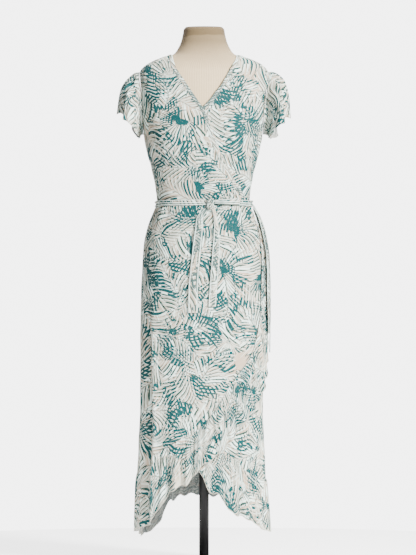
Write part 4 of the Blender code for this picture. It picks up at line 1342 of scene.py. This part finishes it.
def fan(shader, flat, cell, shift, count):
    """Fan palm leaves: long blades that spread from a point. Adds a solid root to what feather returns."""
    x, y, chance = leaves(shader, flat, cell, shift)
    x = x + 0.30 * cell
    r = (x * x + y * y) ** 0.5
    turn = y.math("ARCTAN2", x) + (chance[1] - 0.5) * 9.0 * r
    stripe = turn * (count / (2 * math.pi))
    dice = scrambled(stripe.floor() * 17.131 + chance[0] * 53.7)
    t = (r * (1.0 / cell) * (0.95 + 0.50 * dice)).limited()
    t = 1.0 - (1.0 - t) * (abs(turn) < 2.1)
    body, fat, stroke, light = leaflets(stripe, t, dice)
    root = (0.12 + 0.16 * dice - t).ramp(0.0, 0.01) * (chance[1] > 0.45)
    return body, fat, stroke, light, chance[2], dice, t, root


def palm_colour(shader, flat):
    """The printed colour: pale leaves drawn in grey green, and teal where two leaves cross."""
    inks = bpy.context.scene.wrap_dress_print
    ground, white, blush, sage, teal = inks.ground, inks.white, inks.blush, inks.sage, inks.teal
    ink = shader.noise(shader.moved(flat, (3.1, 0.7, 0)), 260.0, 3.0, 0.65).ramp(0.24, 0.44)
    wash = shader.noise(flat, 14.0, 2.0).ramp(0.40, 0.60)
    patch = shader.noise(shader.moved(flat, (0.37, 1.9, 0)), 20.0, 1.0)
    second = shader.noise(shader.moved(flat, (5.3, 2.2, 0)), 19.0, 1.0)
    bent = swayed(shader, flat, 14.0, 0.016)
    low = feather(shader, bent, 0.118, (0.00, 0.02, 0), 0.0124, 36, 0.9, 9.0, 0.62)
    middle = fan(shader, bent, 0.130, (4.19, 1.33, 0), 35)
    top = feather(shader, bent, 0.124, (1.37, 0.91, 0), 0.0116, 40, 1.0, 12.0, 0.36)
    near = patch.ramp(0.52, 0.60).most(second.ramp(0.48, 0.54))
    crossing = second.ramp(0.528, 0.538)
    shade = shader.mix(near * 0.6, sage, teal)
    colour = shader.mix(wash, ground, blush)
    mist = shader.mix(0.30, ground, sage)
    strong = below = 0.0
    for layer, share in ((low, -1.0), (middle, 0.30), (top, 0.25)):
        body, fat, stroke, light, leaf, dice, t, *root = layer
        shown = leaf > share
        body, fat, light = body * shown, fat * shown, light * shown
        solid = (patch + dice * 0.08).ramp(0.604, 0.614)
        stroke = stroke * shown * (1.0 - solid * 0.9)
        leaflet = blush
        for above, tint in ((0.22, ground), (0.46, mist), (0.72, white)):
            leaflet = shader.mix(dice > above, leaflet, tint)
        colour = shader.mix(body * 0.9, colour, leaflet)
        colour = shader.mix(body * (abs(dice - 0.30) < 0.06) * 0.40, colour, shade)
        colour = shader.mix(light * 0.9, colour, white)
        colour = shader.mix(stroke * (0.72 + 0.28 * ink), colour, shade)
        lens = fat * solid.most((dice > 0.955) * t.ramp(0.15, 0.2))
        strong = (strong * (1.0 - body)).most(lens).most(fat * below * crossing)
        if root:
            strong = strong.most(root[0] * shown)
        below = fat.most(below)
    return shader.mix(strong * (0.86 + 0.14 * ink), colour, teal), ink


def cloth_surface(shader, flat, colour, ink):
    """Plain weave, slubs and soft crinkle of the rayon, with a trace of sheen."""
    weave = shader.wave("X", flat, 230.0, 1.2) * shader.wave("Y", flat, 210.0, 1.4)
    crinkle = shader.noise(shader.moved(flat, (0, 0, 0), (1.6, 0.7, 1)), 120.0, 4.0, 0.6)
    slub = shader.noise(shader.moved(flat, (0, 0, 0), (1.0, 9.0, 1)), 60.0, 2.0)
    tone = weave * 0.10 + slub * 0.10 + 0.86
    grey = shader.node("CombineColor", inputs={0: tone, 1: tone, 2: tone}).outputs[0]
    shader.link("Base Color", shader.mix(1.0, colour, grey, "MULTIPLY"))
    shader.link("Roughness", 0.72 + slub * 0.12 - ink * 0.05)
    normal = shader.bump(crinkle, 0.0011, 0.5)
    shader.link("Normal", shader.bump(weave, 0.00012, 0.35, normal))


HEM_EDGE = (0.1318, 0.1330)  # where the turned edge of a ruffle's hem starts and is full
# The binding's row of stitches: where it lies, how sharp it is, length of a stitch, gap's share of it
STITCHES = (0.0571, 2600.0, 0.0034, 0.34)
# Lines painted along a tie, for tails and for belts: painted highlights on the folds and painted shade in the
# creases and at the edges (middle, half width), and how much of the print is lost to the ground
TIE_LINES_PAINTED_LIGHT = [
    (((0.12, 0.06), (0.90, 0.05)), ((0.01, 0.05), (0.99, 0.04)), 0.10),
    (((0.19, 0.07), (0.54, 0.07), (0.93, 0.05)), ((0.03, 0.09), (0.36, 0.09)), 0.0),
]


def make_print(name, reverse=False, hem=False, stitched=False, tie=None):
    """The printed cloth. tie is 0 for the bow's tails and 1 for the sash, which get painted highlights and
    painted shade along their folds.
    """
    shader = Shader(name, 0.85, Sheen_Weight=0.02, Sheen_Roughness=0.5, Specular_IOR_Level=0.10)
    inks = bpy.context.scene.wrap_dress_print
    uv = shader.node("UVMap", {"uv_map": "flat cloth"}).outputs[0]
    colour, ink = palm_colour(shader, uv)
    u, v, _ = shader.parts(uv)
    # Inner faces: the print mixed with the reverse colour, the unprinted side darkened to grey as painted
    # shade inside the dress.
    if reverse:
        colour = shader.mix(0.60, colour, inks.reverse)
    if hem:
        colour = shader.mix((-1.0 * v).ramp(*HEM_EDGE) * 0.85, colour, inks.ground)
    if stitched:
        place, sharp, stitch, gap = STITCHES
        row = (1.0 - abs(u - place) * sharp).limited()
        dash = (v * (1 / stitch)).fract() > gap
        colour = shader.mix(0.12, colour, inks.ground)
        colour = shader.mix(row * dash * 0.5, colour, inks.sage)
    if tie is not None:
        across = shader.parts(shader.node("UVMap", {"uv_map": "share"}).outputs[0])[tie]
        folds, painted_crease_shade, plain_share = TIE_LINES_PAINTED_LIGHT[tie]
        colour = shader.mix(plain_share, colour, inks.ground)
        # White lines are painted highlights on the folds; sage lines are painted shade in the creases, at the
        # edges and under the sash.
        for rows, strength, tint in ((folds, 0.9, inks.white), (painted_crease_shade, 0.75, inks.sage)):
            for middle, half in rows:
                line = (half - abs(across - middle)).ramp(0.0, 0.03)
                colour = shader.mix(line * strength, colour, tint)
    cloth_surface(shader, uv, colour, ink)


# The band round the neck's top: heights where it starts and is full, the same for its slow fade below,
# and the strength of that fade
NECK_BAND, NECK_FADE, NECK_FADE_SHARE = (1.4640, 1.4900), (1.392, 1.470), 0.84


def make_linen():
    finish = bpy.context.scene.wrap_dress_stand
    shader = Shader("form linen", 0.86, Sheen_Weight=0.10, Specular_IOR_Level=0.22)
    place = shader.node("TexCoord").outputs["Object"]
    uv = shader.node("UVMap", {"uv_map": "flat cloth"}).outputs[0]
    warp, weft = shader.wave("X", uv, 58.0, 1.2, 1.0), shader.wave("Y", uv, 95.0, 2.4)
    slub = shader.noise(shader.moved(uv, (0, 0, 0), (9.0, 0.8, 1)), 34.0, 4.0, 0.6)
    cross = shader.noise(shader.moved(uv, (2, 0, 0), (0.8, 9.0, 1)), 34.0, 4.0, 0.6)
    cloud = shader.noise(place, 9.0, 3.0, 0.55, "3D")
    weave = warp * 0.5 + weft * 0.5
    threads = (warp - 0.5) * 0.34 + (weft - 0.5) * 0.08 + (slub - 0.5) * 0.30 + (cross - 0.5) * 0.24
    shade = threads + (cloud - 0.5) * 0.22 + 0.5
    colour = shader.mix(shade.ramp(0.2, 0.8), finish.linen_dark, finish.linen)
    height = shader.parts(place)[2] + (cloud - 0.5) * 0.026
    cap = height.ramp(*NECK_BAND).most(height.ramp(*NECK_FADE) * NECK_FADE_SHARE)
    capped = shader.mix(shade.ramp(0.1, 0.9), finish.cap_dark, finish.cap)
    shader.link("Base Color", shader.mix(cap, colour, capped))
    shader.link("Roughness", 0.80 + slub * 0.12)
    shader.link("Normal", shader.bump(weave + slub * 0.6 + cross * 0.6, 0.0003, 0.6))


def make_enamel():
    finish = bpy.context.scene.wrap_dress_stand
    shader = Shader("black enamel", 0.45, Coat_Weight=0.04, Coat_Roughness=0.3, Specular_IOR_Level=0.22)
    place = shader.node("TexCoord").outputs["Object"]
    speck = shader.noise(place, 420.0, 3.0, 0.6, "3D")
    wear = shader.noise(place, 24.0, 4.0, 0.6, "3D")
    scuff = shader.noise(shader.moved(place, (0, 0, 0), (1, 1, 12)), 60.0, 3.0, 0.6, "3D")
    colour = shader.mix(wear.ramp(0.35, 0.75) * 0.5, finish.enamel, finish.enamel_worn)
    shader.link("Base Color", colour)
    shader.link("Roughness", 0.42 + wear * 0.18 + scuff.ramp(0.55, 0.7) * 0.12)
    shader.link("Normal", shader.bump(speck, 0.0002, 0.25))


# Stage ------------------------------------------------------------------------------------------

# Lamps: place, target, size, power, colour
LAMPS = [
    ("key", (2.4, -3.0, 2.3), (0, 0, 0.9), 0.7, 720, (1.0, 0.99, 0.97)),
    ("fill", (0.5, -4.6, 1.0), (0, 0, 0.8), 2.0, 120, (0.98, 0.99, 1.0)),
    ("top", (0.0, 0.5, 4.4), (0, 0.4, 0), 2.4, 280, (1.0, 1.0, 1.0)),
    ("back", (0.3, 4.6, 1.6), (0, 0, 0.8), 3.4, 200, (1.0, 1.0, 1.0)),
]
# How strongly the studio's walls light the dress, how bright they look, and the floor's radius
WORLD_LIGHT, WORLD_SEEN, FLOOR_RADIUS = 0.36, 5.4, 1.5
FLOOR_GLOW = 1.6
# Where the camera stands, how high its view is in metres, and its sensor in millimetres
CAMERA_PLACE, VIEW_HEIGHT, SENSOR = (0.0113, -10, 0.8108), 555 * 0.00282, 36


def make_stage():
    glow = {"Emission_Color": (1, 1, 1, 1), "Emission_Strength": FLOOR_GLOW}
    shader = Shader("studio paper", 0.9, Specular_IOR_Level=0.1, **glow)
    place = shader.node("TexCoord").outputs["Object"]
    tint = shader.noise(place, 3.0, 2.0, 0.5, "3D")
    shader.link("Base Color", shader.mix(tint, (0.93, 0.93, 0.93), (0.96, 0.96, 0.96)))
    bm = bmesh.new()
    bmesh.ops.create_circle(bm, cap_ends=True, radius=FLOOR_RADIUS, segments=128)
    mesh = finished(bm, "studio_floor")
    mesh.materials.append(shader.material)
    placed("studio_floor", mesh)

    for name, place, target, size, power, colour in LAMPS:
        light = bpy.data.lights.new(name, "AREA")
        light.energy, light.size, light.color = power, size, colour
        lamp = placed(name, light)
        lamp.location = place
        lamp.rotation_euler = (Vector(target) - Vector(place)).to_track_quat("-Z", "Y").to_euler()

    world = bpy.data.worlds.new("soft studio")
    world.use_nodes = True
    tree = world.node_tree
    # A Light Path keeps the bright walls for the camera alone
    soft, seen = tree.nodes["Background"], tree.nodes.new("ShaderNodeBackground")
    soft.inputs[0].default_value = seen.inputs[0].default_value = (1.0, 1.0, 1.0, 1.0)
    soft.inputs[1].default_value, seen.inputs[1].default_value = WORLD_LIGHT, WORLD_SEEN
    blend, path = tree.nodes.new("ShaderNodeMixShader"), tree.nodes.new("ShaderNodeLightPath")
    tree.links.new(path.outputs["Is Camera Ray"], blend.inputs[0])
    tree.links.new(soft.outputs[0], blend.inputs[1])
    tree.links.new(seen.outputs[0], blend.inputs[2])
    tree.links.new(blend.outputs[0], tree.nodes["World Output"].inputs[0])
    bpy.context.scene.world = world

    camera = bpy.data.cameras.new("camera")
    camera.lens = SENSOR * -CAMERA_PLACE[1] / VIEW_HEIGHT
    view = placed("camera", camera)
    view.location = CAMERA_PLACE
    view.rotation_euler = (math.pi / 2, 0, 0)
    bpy.context.scene.camera = view


# Add-on -----------------------------------------------------------------------------------------


def colour_property(name, description, default):
    limits = {"subtype": "COLOR", "size": 3, "min": 0, "max": 1}
    return FloatVectorProperty(name=name, description=description, default=default, **limits)


def length_property(name, description, default):
    return FloatProperty(name=name, description=description, default=default, unit="LENGTH")


class WrapDressCloth(bpy.types.PropertyGroup):
    wall: length_property("Cloth wall", "Thickness of the cloth", 0.0009)
    crumple: length_property("Crumple", "Depth of the soft unevenness", 0.0010)


class WrapDressPrint(bpy.types.PropertyGroup):
    ground: colour_property("Ground", "Off-white ground of the print", (0.475, 0.455, 0.375))
    white: colour_property("White", "Cool white leaf", (0.68, 0.81, 0.755))
    blush: colour_property("Blush", "Beige leaf", (0.42, 0.325, 0.24))
    sage: colour_property("Sage", "Grey-green lines of the leaves", (0.016, 0.047, 0.039))
    teal: colour_property("Teal", "Strong teal leaf", (0.0004, 0.044, 0.047))
    # The reverse: the cloth's unprinted side, darkened to grey with painted shade for the inside of the
    # dress.
    reverse: colour_property("Reverse", "Unprinted side of the cloth", (0.27, 0.28, 0.27))


class WrapDressStand(bpy.types.PropertyGroup):
    linen: colour_property("Linen", "Linen of the torso", (0.55, 0.43, 0.265))
    linen_dark: colour_property("Linen slub", "Darker threads of the linen", (0.41, 0.312, 0.184))
    cap: colour_property("Neck cap", "Band round the top of the neck", (0.135, 0.094, 0.046))
    cap_dark: colour_property("Neck cap slub", "Darker threads of the band", (0.084, 0.058, 0.028))
    enamel: colour_property("Enamel", "Enamel of the stand", (0.0022, 0.0022, 0.0024))
    enamel_worn: colour_property("Worn enamel", "Where the enamel is rubbed", (0.007, 0.007, 0.0075))


class WRAPDRESS_OT_materials(bpy.types.Operator):
    """Mixes the printed cloth, the linen and the enamel"""

    bl_idname = "wrapdress.materials"
    bl_label = "Materials"

    def execute(self, context):
        make_print("palm print")
        make_print("palm print reverse", reverse=True)
        make_print("palm ruffle", hem=True)
        make_print("palm binding", stitched=True)
        make_print("palm belt", tie=1)
        make_print("palm tie", tie=0)
        make_linen()
        make_enamel()
        return {"FINISHED"}


class WRAPDRESS_OT_form(bpy.types.Operator):
    """Builds the linen torso, the pole and the base"""

    bl_idname = "wrapdress.form"
    bl_label = "Dress form and stand"

    def execute(self, context):
        make_torso()
        make_stand()
        return {"FINISHED"}


class WRAPDRESS_OT_bodice(bpy.types.Operator):
    """Drapes the two bodice fronts and the back"""

    bl_idname = "wrapdress.bodice"
    bl_label = "Bodice"

    def execute(self, context):
        make_bodice()
        return {"FINISHED"}


class WRAPDRESS_OT_bindings(bpy.types.Operator):
    """Folds the binding over the neck edges"""

    bl_idname = "wrapdress.bindings"
    bl_label = "Neck bindings"

    def execute(self, context):
        make_bindings()
        return {"FINISHED"}


class WRAPDRESS_OT_sleeves(bpy.types.Operator):
    """Hangs the two flutter sleeves"""

    bl_idname = "wrapdress.sleeves"
    bl_label = "Sleeves"

    def execute(self, context):
        make_sleeves()
        return {"FINISHED"}


class WRAPDRESS_OT_skirt(bpy.types.Operator):
    """Hangs the skirt's two fronts and its back"""

    bl_idname = "wrapdress.skirt"
    bl_label = "Skirt"

    def execute(self, context):
        make_skirt()
        return {"FINISHED"}


class WRAPDRESS_OT_ruffles(bpy.types.Operator):
    """Gathers the ruffles along the curved fronts and the hem"""

    bl_idname = "wrapdress.ruffles"
    bl_label = "Ruffles"

    def execute(self, context):
        make_ruffles()
        return {"FINISHED"}


class WRAPDRESS_OT_sash(bpy.types.Operator):
    """Ties the sash, its bow and its ends"""

    bl_idname = "wrapdress.sash"
    bl_label = "Sash and bow"

    def execute(self, context):
        make_belt()
        make_knot()
        make_loop()
        make_ties()
        return {"FINISHED"}


class WRAPDRESS_OT_stage(bpy.types.Operator):
    """Sets up the floor, the lights and the camera"""

    bl_idname = "wrapdress.stage"
    bl_label = "Studio"

    def execute(self, context):
        make_stage()
        return {"FINISHED"}


class WRAPDRESS_PT_panel(bpy.types.Panel):
    bl_label = "Wrap dress"
    bl_idname = "WRAPDRESS_PT_panel"
    bl_space_type = "VIEW_3D"
    bl_region_type = "UI"
    bl_category = "Wrap dress"

    def draw(self, context):
        for group in GROUPS:
            settings = getattr(context.scene, group)
            box = self.layout.box()
            for name in settings.__annotations__:
                box.prop(settings, name)
        for operator in OPERATORS:
            self.layout.operator(operator.bl_idname)


GROUPS = {
    "wrap_dress_cloth": WrapDressCloth,
    "wrap_dress_print": WrapDressPrint,
    "wrap_dress_stand": WrapDressStand,
}
OPERATORS = [
    WRAPDRESS_OT_materials,
    WRAPDRESS_OT_form,
    WRAPDRESS_OT_bodice,
    WRAPDRESS_OT_bindings,
    WRAPDRESS_OT_sleeves,
    WRAPDRESS_OT_skirt,
    WRAPDRESS_OT_ruffles,
    WRAPDRESS_OT_sash,
    WRAPDRESS_OT_stage,
]


def register():
    for cls in [*GROUPS.values(), *OPERATORS, WRAPDRESS_PT_panel]:
        bpy.utils.register_class(cls)
    for name, cls in GROUPS.items():
        setattr(bpy.types.Scene, name, PointerProperty(type=cls))


def unregister():
    for name in GROUPS:
        delattr(bpy.types.Scene, name)
    for cls in reversed([*GROUPS.values(), *OPERATORS, WRAPDRESS_PT_panel]):
        bpy.utils.unregister_class(cls)


def main():
    register()
    for step in ("materials", "form", "bodice", "bindings", "sleeves", "skirt", "ruffles", "sash", "stage"):
        getattr(bpy.ops.wrapdress, step)()


if __name__ == "__main__":
    main()
